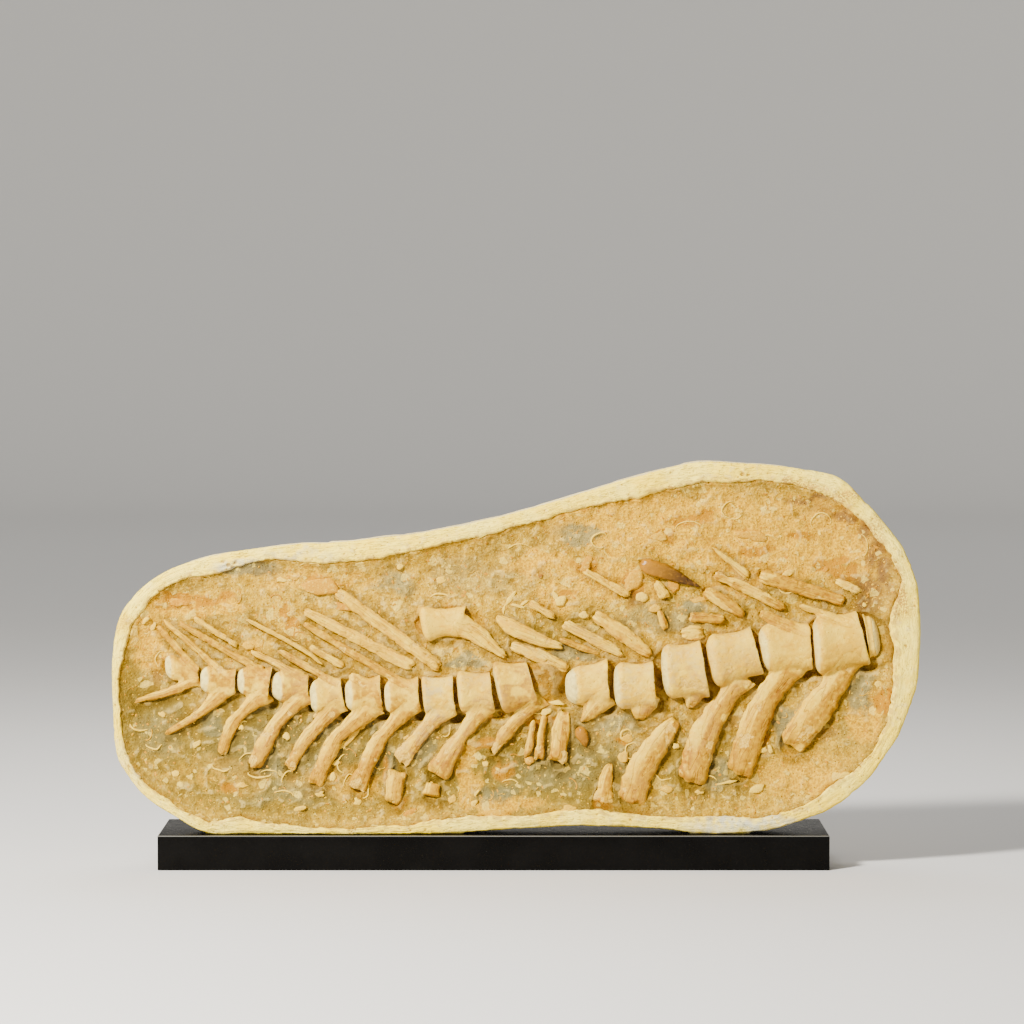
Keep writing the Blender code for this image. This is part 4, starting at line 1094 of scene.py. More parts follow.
# Each lump: u, v, length, width, turn in degrees, height, and its tint from cream (nought)
# through yellow and orange to brown (one).
LUMPS = (
    (241, 229, 20, 8, -15, 3.0, 0.75), (222, 251, 34, 17, -8, 2.2, 0.6), (462, 234, 13, 11, 30, 5.0, 0.05),
    (484, 220, 10, 6, 0, 4.0, 0.0), (486, 271, 13, 10, 60, 3.0, 0.6), (535, 256, 22, 14, 70, 3.5, 0.55),
    (542, 238, 11, 10, 20, 4.0, 0.15), (573, 250, 11, 13, 40, 3.0, 0.7), (441, 259, 5, 4, 0, 2.5, 1.0),
    (524, 75, 9, 14, 10, 3.0, 0.3), (186, 97, 8, 8, 0, 3.5, 0.1), (577, 88, 7, 8, 10, 3.0, 0.0),
    (235, 71, 7, 5, 30, 2.5, 0.1), (232, 56, 9, 5, 60, 2.5, 0.1), (220, 40, 8, 6, 10, 2.5, 0.2),
    (257, 32, 8, 8, 40, 3.0, 0.05), (385, 69, 7, 6, 0, 2.5, 0.1), (377, 41, 8, 5, 60, 2.5, 0.05),
    (568, 43, 10, 8, 10, 3.0, 0.35), (600, 41, 8, 6, 10, 2.5, 0.2), (665, 84, 10, 6, 20, 3.0, 0.1),
    (672, 84, 5, 8, 10, 3.0, 0.0), (660, 45, 15, 10, 10, 4.0, 0.0), (628, 51, 18, 4, 12, 2.5, 0.0),
    (140, 106, 6, 4, 30, 2.0, 0.0), (766, 230, 4, 4, 0, 2.5, 0.0), (455, 240, 14, 5, 110, 2.5, 0.1),
    (410, 236, 16, 4, 55, 2.5, 0.0), (417, 229, 18, 3, -15, 2.2, 0.05), (404, 226, 10, 3, 80, 2.2, 0.0),
    (425, 232, 9, 3, 35, 2.2, 0.0), (147, 188, 14, 10, -20, 3.0, 0.45), (79, 232, 26, 8, -8, 2.5, 0.7),
    (44, 214, 8, 5, 50, 3.0, 0.1), (38, 224, 7, 5, 10, 3.0, 0.1), (52, 208, 9, 5, 60, 3.0, 0.2),
    (727, 265, 7, 6, 0, 2.5, 0.7), (389, 119, 15, 7, 15, 5.0, 0.65), (374, 30, 9, 6, 40, 2.5, 0.1),
    (459, 131, 13, 6, -10, 5.0, 0.0), (446, 122, 9, 7, 10, 4.0, 0.05), (395, 21, 22, 7, 10, 2.0, 0.5),
    (310, 21, 14, 5, 30, 2.0, 0.75), (529, 95, 12, 9, 0, 3.0, 0.45), (534, 44, 6, 7, 20, 4.5, 0.8),
    (500, 34, 5, 5, 0, 4.0, 0.8), (455, 81, 7, 8, 10, 5.0, 0.75), (430, 72, 10, 8, 10, 4.0, 0.6),
    (700, 120, 16, 8, 60, 4.0, 0.55), (556, 226, 9, 7, 30, 3.5, 0.4), (601, 235, 13, 8, 10, 3.0, 0.5),
    (560, 300, 18, 10, 20, 2.2, 0.5), (650, 300, 30, 10, -10, 2.2, 0.55), (690, 262, 12, 7, 30, 2.5, 0.2),
    (340, 255, 12, 7, 20, 2.0, 0.2), (300, 270, 9, 6, 50, 2.0, 0.15), (180, 255, 12, 5, -10, 2.2, 0.1),
    (95, 90, 9, 6, 30, 2.2, 0.1), (60, 120, 8, 5, -20, 2.2, 0.2), (75, 60, 10, 6, 20, 2.5, 0.1),
    (140, 48, 12, 7, 0, 2.5, 0.3), (200, 25, 14, 6, 10, 2.2, 0.2), (470, 25, 12, 6, 0, 2.2, 0.3),
    (250, 97, 25, 6, 50, 2.2, 0.3), (243, 88, 13, 5, 62, 2.0, 0.1), (262, 108, 10, 5, 40, 2.0, 0.5),
    (214, 118, 9, 4, 60, 2.0, 0.2), (120, 88, 12, 4, 35, 2.0, 0.3), (110, 130, 10, 4, 50, 2.0, 0.2),
    (330, 44, 16, 6, 75, 2.2, 0.4), (352, 34, 12, 8, 20, 2.4, 0.3), (305, 96, 8, 5, 30, 2.2, 0.3),
    (730, 140, 14, 6, 40, 2.5, 0.2), (780, 150, 8, 6, 40, 2.2, 0.1), (745, 60, 9, 5, 20, 2.0, 0.1),
)

# Each shell edge or ring: u, v, radius along u and v, where it starts and ends in degrees, width.
SHELL_EDGES = (
    (527, 98, 5.5, 6, 0, 350, 1.6), (500, 295, 8, 8, 20, 300, 1.5), (143, 107, 5, 6, 60, 200, 1.1),
    (167, 58, 9, 6, 20, 150, 1.1), (245, 70, 8, 10, 100, 260, 1.3), (339, 237, 9, 4, 10, 170, 1.7),
    (634, 325, 11, 9, 90, 330, 1.2), (722, 314, 10, 9, -20, 230, 1.2), (150, 71, 14, 9, 30, 160, 1.0),
    (690, 250, 12, 8, 200, 330, 1.0), (590, 305, 14, 9, 10, 170, 1.0), (665, 292, 16, 8, 20, 160, 1.2),
    (760, 290, 9, 12, -60, 80, 1.0), (420, 285, 12, 7, 20, 170, 1.0), (98, 255, 12, 6, 10, 160, 1.0),
    (60, 175, 6, 9, 90, 240, 1.0), (210, 268, 10, 5, 20, 160, 1.0), (250, 50, 7, 9, 30, 200, 1.0),
    (40, 112, 12, 9, 190, 300, 1.6), (52, 92, 9, 7, 200, 340, 1.4), (85, 108, 8, 5, 20, 160, 1.3),
    (120, 70, 10, 7, 180, 320, 1.4), (158, 62, 12, 6, 190, 340, 1.6), (188, 54, 7, 9, 60, 200, 1.3),
    (205, 100, 6, 8, 250, 380, 1.3), (180, 36, 12, 7, 10, 120, 1.4), (262, 44, 6, 9, 270, 420, 1.3),
    (350, 60, 7, 9, 90, 230, 1.3), (410, 48, 9, 6, 20, 150, 1.2), (345, 104, 5, 7, 240, 400, 1.2),
    (565, 60, 8, 7, 180, 330, 1.0), (645, 70, 10, 6, 200, 340, 1.0), (438, 125, 6, 5, 0, 300, 1.3),
    (533, 82, 7, 8, 30, 330, 1.2), (610, 52, 8, 5, 10, 170, 1.0), (700, 95, 7, 9, 100, 250, 1.0),
)


LUMP_SIDES = 11
LUMP_STEPS = ((1.06, -0.25), (1.0, 0.15), (0.93, 0.42), (0.78, 0.55), (0.4, 0.6))


def lump_form(u, v, length, width, turn, height, seed):
    """A small irregular lump pressed into the rock's face."""
    angle = 2 * math.pi * np.arange(LUMP_SIDES) / LUMP_SIDES
    circle = np.stack([np.cos(angle), np.sin(angle)], 1)
    shape = 1 + 0.5 * wander(circle * 1.1 + seed * 7.7, 1.0, seed)
    shape += 0.35 * wander(circle * 2.3 + seed * 3.1, 1.0, seed + 1)
    tilt = 0.5 * wander(np.array([[seed * 1.7, 0.5]]), 1.0, 31)
    spin = math.radians(turn)
    middle = np.array([[u, v]], float)
    lie = rock_surface(middle)[0][0] - ground(u, v)
    rings = []
    for spread, share in LUMP_STEPS:
        ring = circle * shape[:, None] * spread * (length / 2, width / 2)
        rise = height * share * (1 + tilt * ring[:, 0] / (length / 2))
        place = ring @ np.array([[math.cos(spin), math.sin(spin)], [-math.sin(spin), math.cos(spin)]])
        place = place + (u, v)
        rings.append(np.column_stack([place, ground(*place.T) + lie - rise]))
    base = rings[0] + (0, 0, 3.0)
    return loft(np.array([base] + rings))


def ring_form(u, v, reach_u, reach_v, start, end, width, seed):
    """The raised edge of a shell: a thin strand along part of an oval."""
    turn = np.radians(np.linspace(start, end, 18))
    shape = 1 + 0.12 * wander(np.stack([turn * 1.6, turn * 0 + seed], 1), 1.0, seed)
    path = np.stack([u + reach_u * shape * np.cos(turn), v + reach_v * shape * np.sin(turn)], 1)
    across = across_path(path)
    thin = 0.72 * width * (0.35 + 0.65 * np.sin(np.linspace(0.15, math.pi - 0.15, 18)))
    angle = 2 * math.pi * (np.arange(7) + 0.5) / 7
    place = path[:, None] + across[:, None] * (thin[:, None] * np.cos(angle))[..., None]
    depth = rock_surface(path)[0][:, None] - thin[:, None] * np.sin(angle) * 1.5
    return loft(np.dstack([place, depth]))


def crumb_finish():
    """Bone and shell crumbs: cream to yellow, orange and brown by the tint of each."""
    crumb = Finish("bone_and_shell_crumbs", {"Specular IOR Level": 0.1})
    tint = crumb.painted("tint")
    mottle = crumb.speckle(3.5, 4.0)
    fine = crumb.speckle(1.0, 3.0)
    colour = crumb.blend(tint.step(0.0, 0.45), (0.74, 0.49, 0.04, 1.0), (0.60, 0.33, 0.006, 1.0))
    colour = crumb.blend(tint.step(0.4, 0.7), colour, (0.48, 0.21, 0.001, 1.0))
    colour = crumb.blend(tint.step(0.75, 1.0), colour, (0.25, 0.10, 0.01, 1.0))
    colour = crumb.blend(mottle.step(0.5, 0.72) * 0.5, colour, (0.80, 0.56, 0.08, 1.0))
    colour = crumb.darken(fine.step(0.5, 0.3) * 0.5, colour, (0.6, 0.42, 0.26, 1.0))
    crumb.feed(colour, mottle * 0.25 + 0.5, crumb.relief(fine + mottle, 0.8))
    return crumb.material


crumb_material = crumb_finish()
lump_forms = [lump_form(*lump[:6], seed) for seed, lump in enumerate(LUMPS)]
lump_tints = np.concatenate([np.full(len(form[0]), lump[6]) for form, lump in zip(lump_forms, LUMPS)])
pressed_lumps = add_piece("pressed_lumps", mesh_from("pressed_lumps", lump_forms))
paint(pressed_lumps.data, "tint", lump_tints)
pressed_lumps.data.shade_smooth()
settle(pressed_lumps, "matrix", crumb_material)

ring_forms = [ring_form(*ring, seed) for seed, ring in enumerate(SHELL_EDGES)]
shell_edges = add_piece("shell_edges", mesh_from("shell_edges", ring_forms))
paint(shell_edges.data, "tint", np.zeros(len(shell_edges.data.vertices)))
shell_edges.data.shade_smooth()
settle(shell_edges, "matrix", crumb_material)


# Shell grit is all through the rock: thousands of flat flakes and grains, and a few curled bits.
# They lie wherever the rock's own face is bare.

GRIT = {"Density": 14000.0, "Smallest": 0.45, "Largest": 1.9, "Seed": 4}
CURL = {"Density": 1200.0, "Smallest": 0.4, "Largest": 1.3, "Seed": 9}


class Scatter:
    """A Geometry Nodes group in the making, from a surface to a crowd of small bits on it."""

    def __init__(self, name, settings, finish):
        self.tree = bpy.data.node_groups.new(name, "GeometryNodeTree")
        sockets = self.tree.interface
        sockets.new_socket("Surface", in_out="INPUT", socket_type="NodeSocketGeometry")
        self.keys = {}
        for label, value in settings.items():
            kind = "NodeSocketInt" if isinstance(value, int) else "NodeSocketFloat"
            self.keys[sockets.new_socket(label, in_out="INPUT", socket_type=kind).identifier] = value
        finish_socket = sockets.new_socket("Finish", in_out="INPUT", socket_type="NodeSocketMaterial")
        self.keys[finish_socket.identifier] = finish
        sockets.new_socket("Bits", in_out="OUTPUT", socket_type="NodeSocketGeometry")
        self.entry = self.tree.nodes.new("NodeGroupInput")

    def node(self, kind, settings=None, values=None):
        """One node with its settings made first, then its sockets' values and links."""
        made = self.tree.nodes.new(kind)
        for name, value in (settings or {}).items():
            setattr(made, name, value)
        for name, value in (values or {}).items():
            socket = made.inputs[name] if isinstance(name, int) else next(
                entry for entry in made.inputs if name in (entry.identifier, entry.name))
            if isinstance(value, bpy.types.NodeSocket):
                self.tree.links.new(value, socket)
            else:
                socket.default_value = value
        return made

    def spread(self, bit):
        """Set the bit down all over the surface, each turned and scaled in its own way."""
        seed = self.entry.outputs["Seed"]
        bare = self.node("GeometryNodeInputNamedAttribute", {"data_type": "FLOAT"}, {"Name": "bare"})
        density = self.node("ShaderNodeMath", {"operation": "MULTIPLY"}, {
            0: bare.outputs["Attribute"], 1: self.entry.outputs["Density"]})
        spots = self.node("GeometryNodeDistributePointsOnFaces", {"distribute_method": "RANDOM"}, {
            "Mesh": self.entry.outputs["Surface"], "Density": density.outputs[0], "Seed": seed})
        spin = self.node("FunctionNodeRandomValue", {"data_type": "FLOAT"}, {
            "Min_001": 0.0, "Max_001": 2 * math.pi, "Seed": seed})
        turn = self.node("ShaderNodeCombineXYZ", None, {"Z": spin.outputs[1]})
        turned = self.node("FunctionNodeRotateRotation", {"rotation_space": "LOCAL"}, {
            "Rotation": spots.outputs["Rotation"], "Rotate By": turn.outputs[0]})
        shape = self.node("FunctionNodeRandomValue", {"data_type": "FLOAT_VECTOR"}, {
            "Min": (0.5, 0.35, 0.2), "Max": (1.5, 0.9, 0.5), "Seed": seed})
        size = self.node("FunctionNodeRandomValue", {"data_type": "FLOAT"}, {
            "Min_001": self.entry.outputs["Smallest"], "Max_001": self.entry.outputs["Largest"],
            "Seed": seed})
        scale = self.node("ShaderNodeVectorMath", {"operation": "SCALE"}, {
            0: shape.outputs[0], "Scale": size.outputs[1]})
        crowd = self.node("GeometryNodeInstanceOnPoints", None, {
            "Points": spots.outputs["Points"], "Instance": bit, "Rotation": turned.outputs[0],
            "Scale": scale.outputs[0]})
        tint = self.node("FunctionNodeRandomValue", {"data_type": "FLOAT"}, {
            "Min_001": 0.0, "Max_001": 0.8, "Seed": seed})
        stored = self.node("GeometryNodeStoreNamedAttribute", {"data_type": "FLOAT", "domain": "INSTANCE"}, {
            "Geometry": crowd.outputs[0], "Name": "tint", "Value": tint.outputs[1]})
        solid = self.node("GeometryNodeRealizeInstances", None, {"Geometry": stored.outputs[0]})
        dressed = self.node("GeometryNodeSetMaterial", None, {
            "Geometry": solid.outputs[0], "Material": self.entry.outputs["Finish"]})
        ending = self.tree.nodes.new("NodeGroupOutput")
        self.tree.links.new(dressed.outputs[0], ending.inputs[0])

    def grow(self, name, surface):
        """A new piece with the crowd on a surface, as a plain mesh."""
        piece = add_piece(name, surface.copy())
        modifier = piece.modifiers.new(name, "NODES")
        modifier.node_group = self.tree
        for key, value in self.keys.items():
            modifier[key] = value
        settle_modifiers(piece)
        return piece


grit_scatter = Scatter("shell_grit", GRIT, crumb_material)
grain = grit_scatter.node("GeometryNodeMeshIcoSphere", None, {"Radius": MM, "Subdivisions": 1})
grit_scatter.spread(grain.outputs["Mesh"])
shell_grit = grit_scatter.grow("shell_grit", rock_bed.data)
settle(shell_grit, "matrix", crumb_material)

curl_scatter = Scatter("shell_curls", CURL, crumb_material)
curl_arc = curl_scatter.node("GeometryNodeCurveArc", {"mode": "RADIUS"}, {
    "Resolution": 9, "Radius": 4.4 * MM, "Sweep Angle": 2.9})
curl_section = curl_scatter.node("GeometryNodeCurvePrimitiveCircle", {"mode": "RADIUS"}, {
    "Resolution": 5, "Radius": 0.6 * MM})
curl_tube = curl_scatter.node("GeometryNodeCurveToMesh", None, {
    "Curve": curl_arc.outputs["Curve"], "Profile Curve": curl_section.outputs["Curve"],
    "Fill Caps": True})
curl_scatter.spread(curl_tube.outputs["Mesh"])
shell_curls = curl_scatter.grow("shell_curls", rock_bed.data)
settle(shell_curls, "matrix", crumb_material)


# The jacket is plaster with strips of sacking, laid on wet in the field. Its rim was sawn and
# trimmed flush round the rock, and its sides and back still show the lapped strips.

RECESS_DEPTH = 61.0
RIM_STATIONS = 19
SIDE_STATIONS = 18
JACKET_DEPTH = 84.0
BACK_STATIONS = 22
BACK_SEAM_STEPS = 160
BACK_LINE = ((170, 150), (660, 190))
STRIP_WIDTH = 74.0
STRIP_THICKNESS = 1.3
FOOT_HEIGHT = 1.4
REST_GAP = 0.25


def strip_laps(points):
    """How thick the lapped strips of sacking lie at each point of u and v."""
    wavy = points[:, 0] + 0.22 * points[:, 1] + 5.0 * wander(points, 60.0, 81)
    wavy += 1.2 * wander(points, 9.0, 82)
    lap = (wavy / STRIP_WIDTH) % 1.0
    slant = points[:, 1] - 0.35 * points[:, 0] + 5.0 * wander(points, 70.0, 83)
    second = (slant / (STRIP_WIDTH * 1.7)) % 1.0
    edge_a = smooth_step(lap, 0.0, 0.07) * (1 - lap)
    edge_b = smooth_step(second, 0.0, 0.05) * smooth_step(1 - second, 0.35, 0.4)
    return STRIP_THICKNESS * edge_a + 0.8 * STRIP_THICKNESS * edge_b


def nearest_on_back_line(points):
    """The nearest place to each point on the line along the middle of the back."""
    first, last = np.array(BACK_LINE, float)
    run = last - first
    share = np.clip((points - first) @ run / (run @ run), 0.0, 1.0)
    return first + np.round(share * BACK_SEAM_STEPS)[:, None] / BACK_SEAM_STEPS * run


def jacket_rings():
    """Rings of u, v and depth from the recess round the rim to the back, and a rim value each."""
    outward = -edge_inward
    rings, on_rim, across = [], [], []
    ragged_edge = 0.5 * round_the_edge(23.0, 4) + 0.5 * round_the_edge(8.0, 5)
    ragged_edge += 0.45 * round_the_edge(3.4, 6)
    knifed = smooth_step(edge[:, 0], 640.0, 740.0)
    ragged_edge -= knifed * (2.6 * np.abs(round_the_edge(38.0, 8)) - 0.6)
    for depth in (RECESS_DEPTH, 30.0, 14.0):
        rings.append(np.column_stack([rock_line, np.full(len(edge), depth)]))
        on_rim.append(0.0)
        across.append(0.0)
    for station in range(RIM_STATIONS):
        share = station / (RIM_STATIONS - 1)
        inner = 1 - share
        place = edge[:, :2] + edge_inward * (rim_width * inner)[:, None]
        over = np.logaddexp(0, -2.0 * ragged_edge) / 2.0
        place = place - outward * (over * smooth_step(share, 0.4, 1.0))[:, None]
        lip = 7.5 * (1 - smooth_step(share, -0.02, 0.15)) ** 1.5
        brow = 2.6 * smooth_step(share, 0.88, 1.02) ** 2
        crown = -0.9 * math.sin(math.pi * share)
        flat = place
        rough = 0.9 * roughness(flat, 30.0, 91, 4) + 0.35 * wander(flat, 5.0, 95)
        rough += 0.3 * wander(flat, 2.6, 96)
        strokes = np.column_stack([edge_reach / 22, np.full(len(edge), share * 7)])
        layered = 0.6 * np.abs(wander(strokes, 1.0, 97)) + 0.3 * wander(strokes * (2.5, 1.9), 1.0, 98)
        rings.append(np.column_stack([place, lip + brow + crown + rough + layered + 0.6]))
        on_rim.append(1.0)
        across.append(share)
    for station in range(1, SIDE_STATIONS + 1):
        share = station / SIDE_STATIONS
        depth = 3.0 + (72.0 - 3.0) * share
        inset = 1.2 * share + 14.0 * smooth_step(share, 0.55, 1.15) ** 1.6
        place = edge[:, :2] + edge_inward * inset
        arc = np.column_stack([edge[:, :2], np.full(len(edge), depth)])
        lumps = 1.1 * roughness(arc, 36.0, 101, 3) + 0.35 * wander(arc, 6.0, 105)
        laps = strip_laps(edge[:, :2] + edge_run * depth * 0.1)
        swell = (lumps + laps - 1.6) * smooth_step(share, 0.0, 0.12) + ragged_edge * (1 - share)
        place = place + outward * (-np.logaddexp(0, -2.0 * swell) / 2.0)[:, None]
        rings.append(np.column_stack([place, np.full(len(edge), depth)]))
        on_rim.append(0.0)
        across.append(1.0 + share)
    side_end = rings[-1][:, :2]
    target = nearest_on_back_line(side_end)
    for station in range(1, BACK_STATIONS + 1):
        share = station / BACK_STATIONS
        place = side_end + (target - side_end) * share
        inward = np.hypot(*(place - side_end).T)
        depth = JACKET_DEPTH - 12.0 * np.exp(-inward / 9.0) + 1.5 * smooth_step(inward, 0, 90)
        full = np.column_stack([place, depth])
        lumps = 1.1 * roughness(full, 36.0, 101, 3) + 0.35 * wander(full, 6.0, 105)
        depth = depth + lumps + strip_laps(place) - 3.0
        rings.append(np.column_stack([place, np.minimum(depth, JACKET_DEPTH)]))
        on_rim.append(0.0)
        across.append(2.0 + share)
    rings = np.array(rings)
    low = np.maximum(rings[..., 1], REST_GAP)
    foot = (edge[None, :, 1] < FOOT_HEIGHT) & (rings[..., 1] < FOOT_HEIGHT + 1.0)
    foot &= np.array(on_rim)[:, None] + (rings[..., 2] > 3.0) > 0
    flat_foot = foot & (np.array(across)[:, None] > 0.97)
    rings[..., 1] = np.where(flat_foot, REST_GAP, low)
    return rings, np.array(on_rim), np.array(across)


def jacket_mesh():
    """The jacket as one closed shell: rings from the recess to the back, and a filled back."""
    rings, on_rim, across = jacket_rings()
    count, sides = rings.shape[:2]
    points = rings.reshape(-1, 3)
    order = np.arange(sides)
    after = (order + 1) % sides
    faces = []
    for row in range(count - 1):
        low, high = row * sides, (row + 1) * sides
        faces.extend(np.stack([low + order, low + after, high + after, high + order], 1).tolist())
    faces.append(list(range(sides)))
    mesh = bpy.data.meshes.new("plaster_shell")
    mesh.from_pydata(on_slab(points).tolist(), [], faces)
    built = bmesh.new()
    built.from_mesh(mesh)
    bmesh.ops.triangulate(built, faces=[face for face in built.faces if len(face.verts) > 4])
    built.verts.ensure_lookup_table()
    kept = list(built.verts)
    bmesh.ops.remove_doubles(built, verts=kept[-sides:], dist=0.01 * MM)
    kept = np.array([vert.is_valid for vert in kept])
    bmesh.ops.recalc_face_normals(built, faces=built.faces)
    built.to_mesh(mesh)
    built.free()
    paint(mesh, "rim", np.repeat(on_rim, sides)[kept])
    station = np.repeat(across, sides)
    cloth = np.column_stack([np.tile(edge_reach, count), station * 70, np.zeros(count * sides)])
    cloth = np.where(station[:, None] > 2.05, points * (1, 1, 0), cloth)
    woven = (np.repeat(on_rim, sides) == 0) & (np.abs(station - 2.05) > 0.07)
    woven &= np.tile((order > 0) & (order < sides - 1), count)
    paint(mesh, "station", station[kept])
    paint(mesh, "woven", woven[kept])
    paint(mesh, "cloth", cloth[kept], "FLOAT_VECTOR")
    return mesh


RIM_PITS = (
    (128, 271, 1.6), (132, 269, 1.2), (124, 274, 1.0), (135, 273, 1.2), (642, 362, 1.6),
    (648, 361, 1.2), (638, 359, 1.0), (300, 286, 1.0), (815, 230, 1.2), (806, 190, 1.3),
)
RIM_PIT_COUNT = 150


def pit_rim(mesh):
    """Press small air holes into the plaster's sawn rim, and store their depth for the painted shade inside
    them.
    """
    places = vertex_places(mesh)
    points = off_slab(places)
    draw = random.Random(12)
    pits = list(RIM_PITS)
    while len(pits) < RIM_PIT_COUNT:
        place = draw.randrange(len(edge))
        share = draw.uniform(0.15, 0.9)
        spot = edge[place, :2] + edge_inward[place] * rim_width[place] * share
        pits.append((spot[0], spot[1], draw.uniform(0.45, 1.0)))
    front = np.flatnonzero(points[:, 2] < 6.0)
    sunk = np.zeros(len(front))
    for u, v, radius in pits:
        far = np.hypot(points[front, 0] - u, points[front, 1] - v) / (radius * 1.25)
        sunk = np.maximum(sunk, radius * 1.1 * np.exp(-far ** 4))
    places[front, 1] += sunk * MM
    move_vertices(mesh, places)
    hollow = np.zeros(len(places))
    hollow[front] = sunk
    paint(mesh, "pit_shade", hollow)


RIM_STAINS = {
    "bluish": ((650, 10, 60, 9, 1.0), (136, 268, 26, 8, 0.9), (200, 280, 30, 6, 0.4), (620, 4, 40, 6, 0.7),
               (20, 60, 30, 30, 0.3)),
    "rust": ((690, 352, 40, 5, 0.9), (742, 340, 18, 10, 0.9), (775, 300, 12, 20, 0.8),
             (797, 240, 12, 24, 0.9), (570, 348, 6, 4, 0.8), (640, 352, 20, 3, 0.6),
             (28, 214, 14, 10, 0.6)),
}


def plaster_finish():
    """Field plaster: cream, chalky and pitted, with painted shade in its pits, rock dirt by the rock and cloth
    on its back.
    """
    plaster = Finish("field_plaster", {"Specular IOR Level": 0.05})
    cloud = plaster.speckle(34.0, 4.0)
    patch = plaster.speckle(7.0, 5.0)
    grit = plaster.speckle(1.6, 4.0)
    rim = plaster.painted("rim")
    station = plaster.painted("station")
    colour = plaster.blend(cloud.step(0.35, 0.65), (0.95, 0.67, 0.03, 1.0), (0.97, 0.75, 0.10, 1.0))
    colour = plaster.blend(rim, (0.84, 0.68, 0.31, 1.0), colour)
    colour = plaster.blend(patch.step(0.55, 0.7) * 0.5, colour, (0.80, 0.62, 0.20, 1.0))
    cloth = plaster.node("ShaderNodeAttribute", {"attribute_name": "cloth"}, output="Vector")
    stroke_place = plaster.node("ShaderNodeVectorMath", {"operation": "MULTIPLY"}, {
        0: cloth, 1: (0.05, 0.12, 1.0)})
    stroke = plaster.node("ShaderNodeTexNoise", None, {"Vector": stroke_place, "Scale": 1.0, "Detail": 4.0})
    colour = plaster.darken(stroke.step(0.54, 0.66) * rim * 0.4, colour, (0.78, 0.6, 0.36, 1.0))
    line = (stroke - 0.47).work("ABSOLUTE", stroke - 0.47).step(0.012, 0.003)
    colour = plaster.darken(line * rim * 0.5, colour, (0.6, 0.42, 0.22, 1.0))
    inner = (station * -1 + 0.34 + patch * 0.2).step(0.0, 0.34) * rim
    colour = plaster.blend(inner * patch.step(0.44, 0.56) * 0.8, colour, (0.56, 0.36, 0.05, 1.0))
    colour = plaster.blend(plaster.painted("rust") * grit.step(0.35, 0.6) * rim, colour, (0.40, 0.20, 0.03, 1.0))
    colour = plaster.blend(plaster.painted("bluish") * patch.step(0.2, 0.6) * 0.8, colour,
                           (0.52, 0.53, 0.42, 1.0))
    # Painted shade inside the air holes, darker where they are deeper.
    colour = plaster.darken(plaster.painted("pit_shade").step(0.1, 0.9) * 0.75, colour, (0.34, 0.22, 0.09, 1.0))
    speck = plaster.cells(9.0).step(0.08, 0.03)
    colour = plaster.darken(speck * 0.6, colour, (0.4, 0.26, 0.12, 1.0))
    outside = 1 - rim
    soil = (plaster.speckle(40.0, 5.0)).step(0.35, 0.8) * outside
    colour = plaster.blend(soil * 0.35, colour, (0.62, 0.46, 0.17, 1.0))
    apart = plaster.node("ShaderNodeSeparateXYZ", None, {"Vector": cloth}, "X")
    lengthwise = (apart * 2.6).work("SINE", apart * 2.6)
    up = plaster.node("ShaderNodeSeparateXYZ", None, {"Vector": cloth}, "Y")
    crosswise = (up * 2.6).work("SINE", up * 2.6)
    show = plaster.speckle(60.0, 2.0).step(0.35, 0.7) * plaster.painted("woven")
    weave = (lengthwise * crosswise) * show
    colour = plaster.darken((weave * 0.5 + 0.5) * show * 0.18, colour, (0.6, 0.45, 0.25, 1.0))
    height = patch * 0.7 + grit * 0.7 + weave * 0.5 + stroke * rim * 0.8 - speck * 0.5 - line * rim * 0.4
    plaster.feed(colour, grit * 0.15 + 0.8, plaster.relief(height, 0.8))
    return plaster.material


plaster_shell = add_piece("plaster_shell", jacket_mesh())
pit_rim(plaster_shell.data)
rim_flat = off_slab(vertex_places(plaster_shell.data))[:, :2]
for name, stains in RIM_STAINS.items():
    ROCK_ZONES[name] = stains
    paint(plaster_shell.data, name, zone(rim_flat, name))
plaster_shell.data.shade_smooth()
settle(plaster_shell, "plaster_jacket", plaster_finish())


# The stand is one flat block of black lacquered board with its edges just broken, and the jacket
# rests on two stretches of its lower edge on it.

STAND_BEVEL = 1.1
STAND_BEVEL_STEPS = 4


def stand_mesh():
    """A block the size of the stand with small round edges, its top front edge marked for a painted highlight.
    """
    built = bmesh.new()
    bmesh.ops.create_cube(built, size=1.0)
    for vert in built.verts:
        for axis in range(3):
            middle = (stand_low[axis] + stand_high[axis]) / 2
            vert.co[axis] = middle + vert.co[axis] * (stand_high[axis] - stand_low[axis])
    bmesh.ops.bevel(built, geom=built.edges[:], offset=STAND_BEVEL * MM, profile=0.5,
                    segments=STAND_BEVEL_STEPS, affect="EDGES")
    mesh = bpy.data.meshes.new("display_stand")
    built.to_mesh(mesh)
    built.free()
    places = vertex_places(mesh)
    # The top front edge, where a painted highlight lightens the lacquer.
    corner = (places[:, 2] > stand_high[2] - 0.9 * MM) & (places[:, 1] < stand_low[1] + 0.9 * MM)
    paint(mesh, "corner", corner)
    mesh.shade_smooth()
    return mesh


def lacquer_finish():
    """Black lacquer: nearly even, with faint dust, fine scratches in its gloss and a painted highlight along the
    top front edge.
    """
    lacquer = Finish("black_lacquer", {"Specular IOR Level": 0.06})
    cloud = lacquer.speckle(40.0, 3.0)
    dust = lacquer.speckle(0.8, 2.0)
    colour = lacquer.blend(cloud.step(0.35, 0.65), (0.0016, 0.0014, 0.0012, 1.0),
                           (0.0026, 0.0023, 0.0020, 1.0))
    colour = lacquer.blend(dust.step(0.72, 0.8) * 0.25, colour, (0.03, 0.028, 0.024, 1.0))
    # Painted highlight: a pale line along the top front edge.
    colour = lacquer.blend(lacquer.painted("corner") * 0.8, colour, (0.13, 0.125, 0.11, 1.0))
    scuffs = lacquer.speckle(6.0, 6.0)
    lacquer.feed(colour, scuffs * 0.16 + 0.2, lacquer.relief(cloud + dust * 0.1, 0.02))
    return lacquer.material


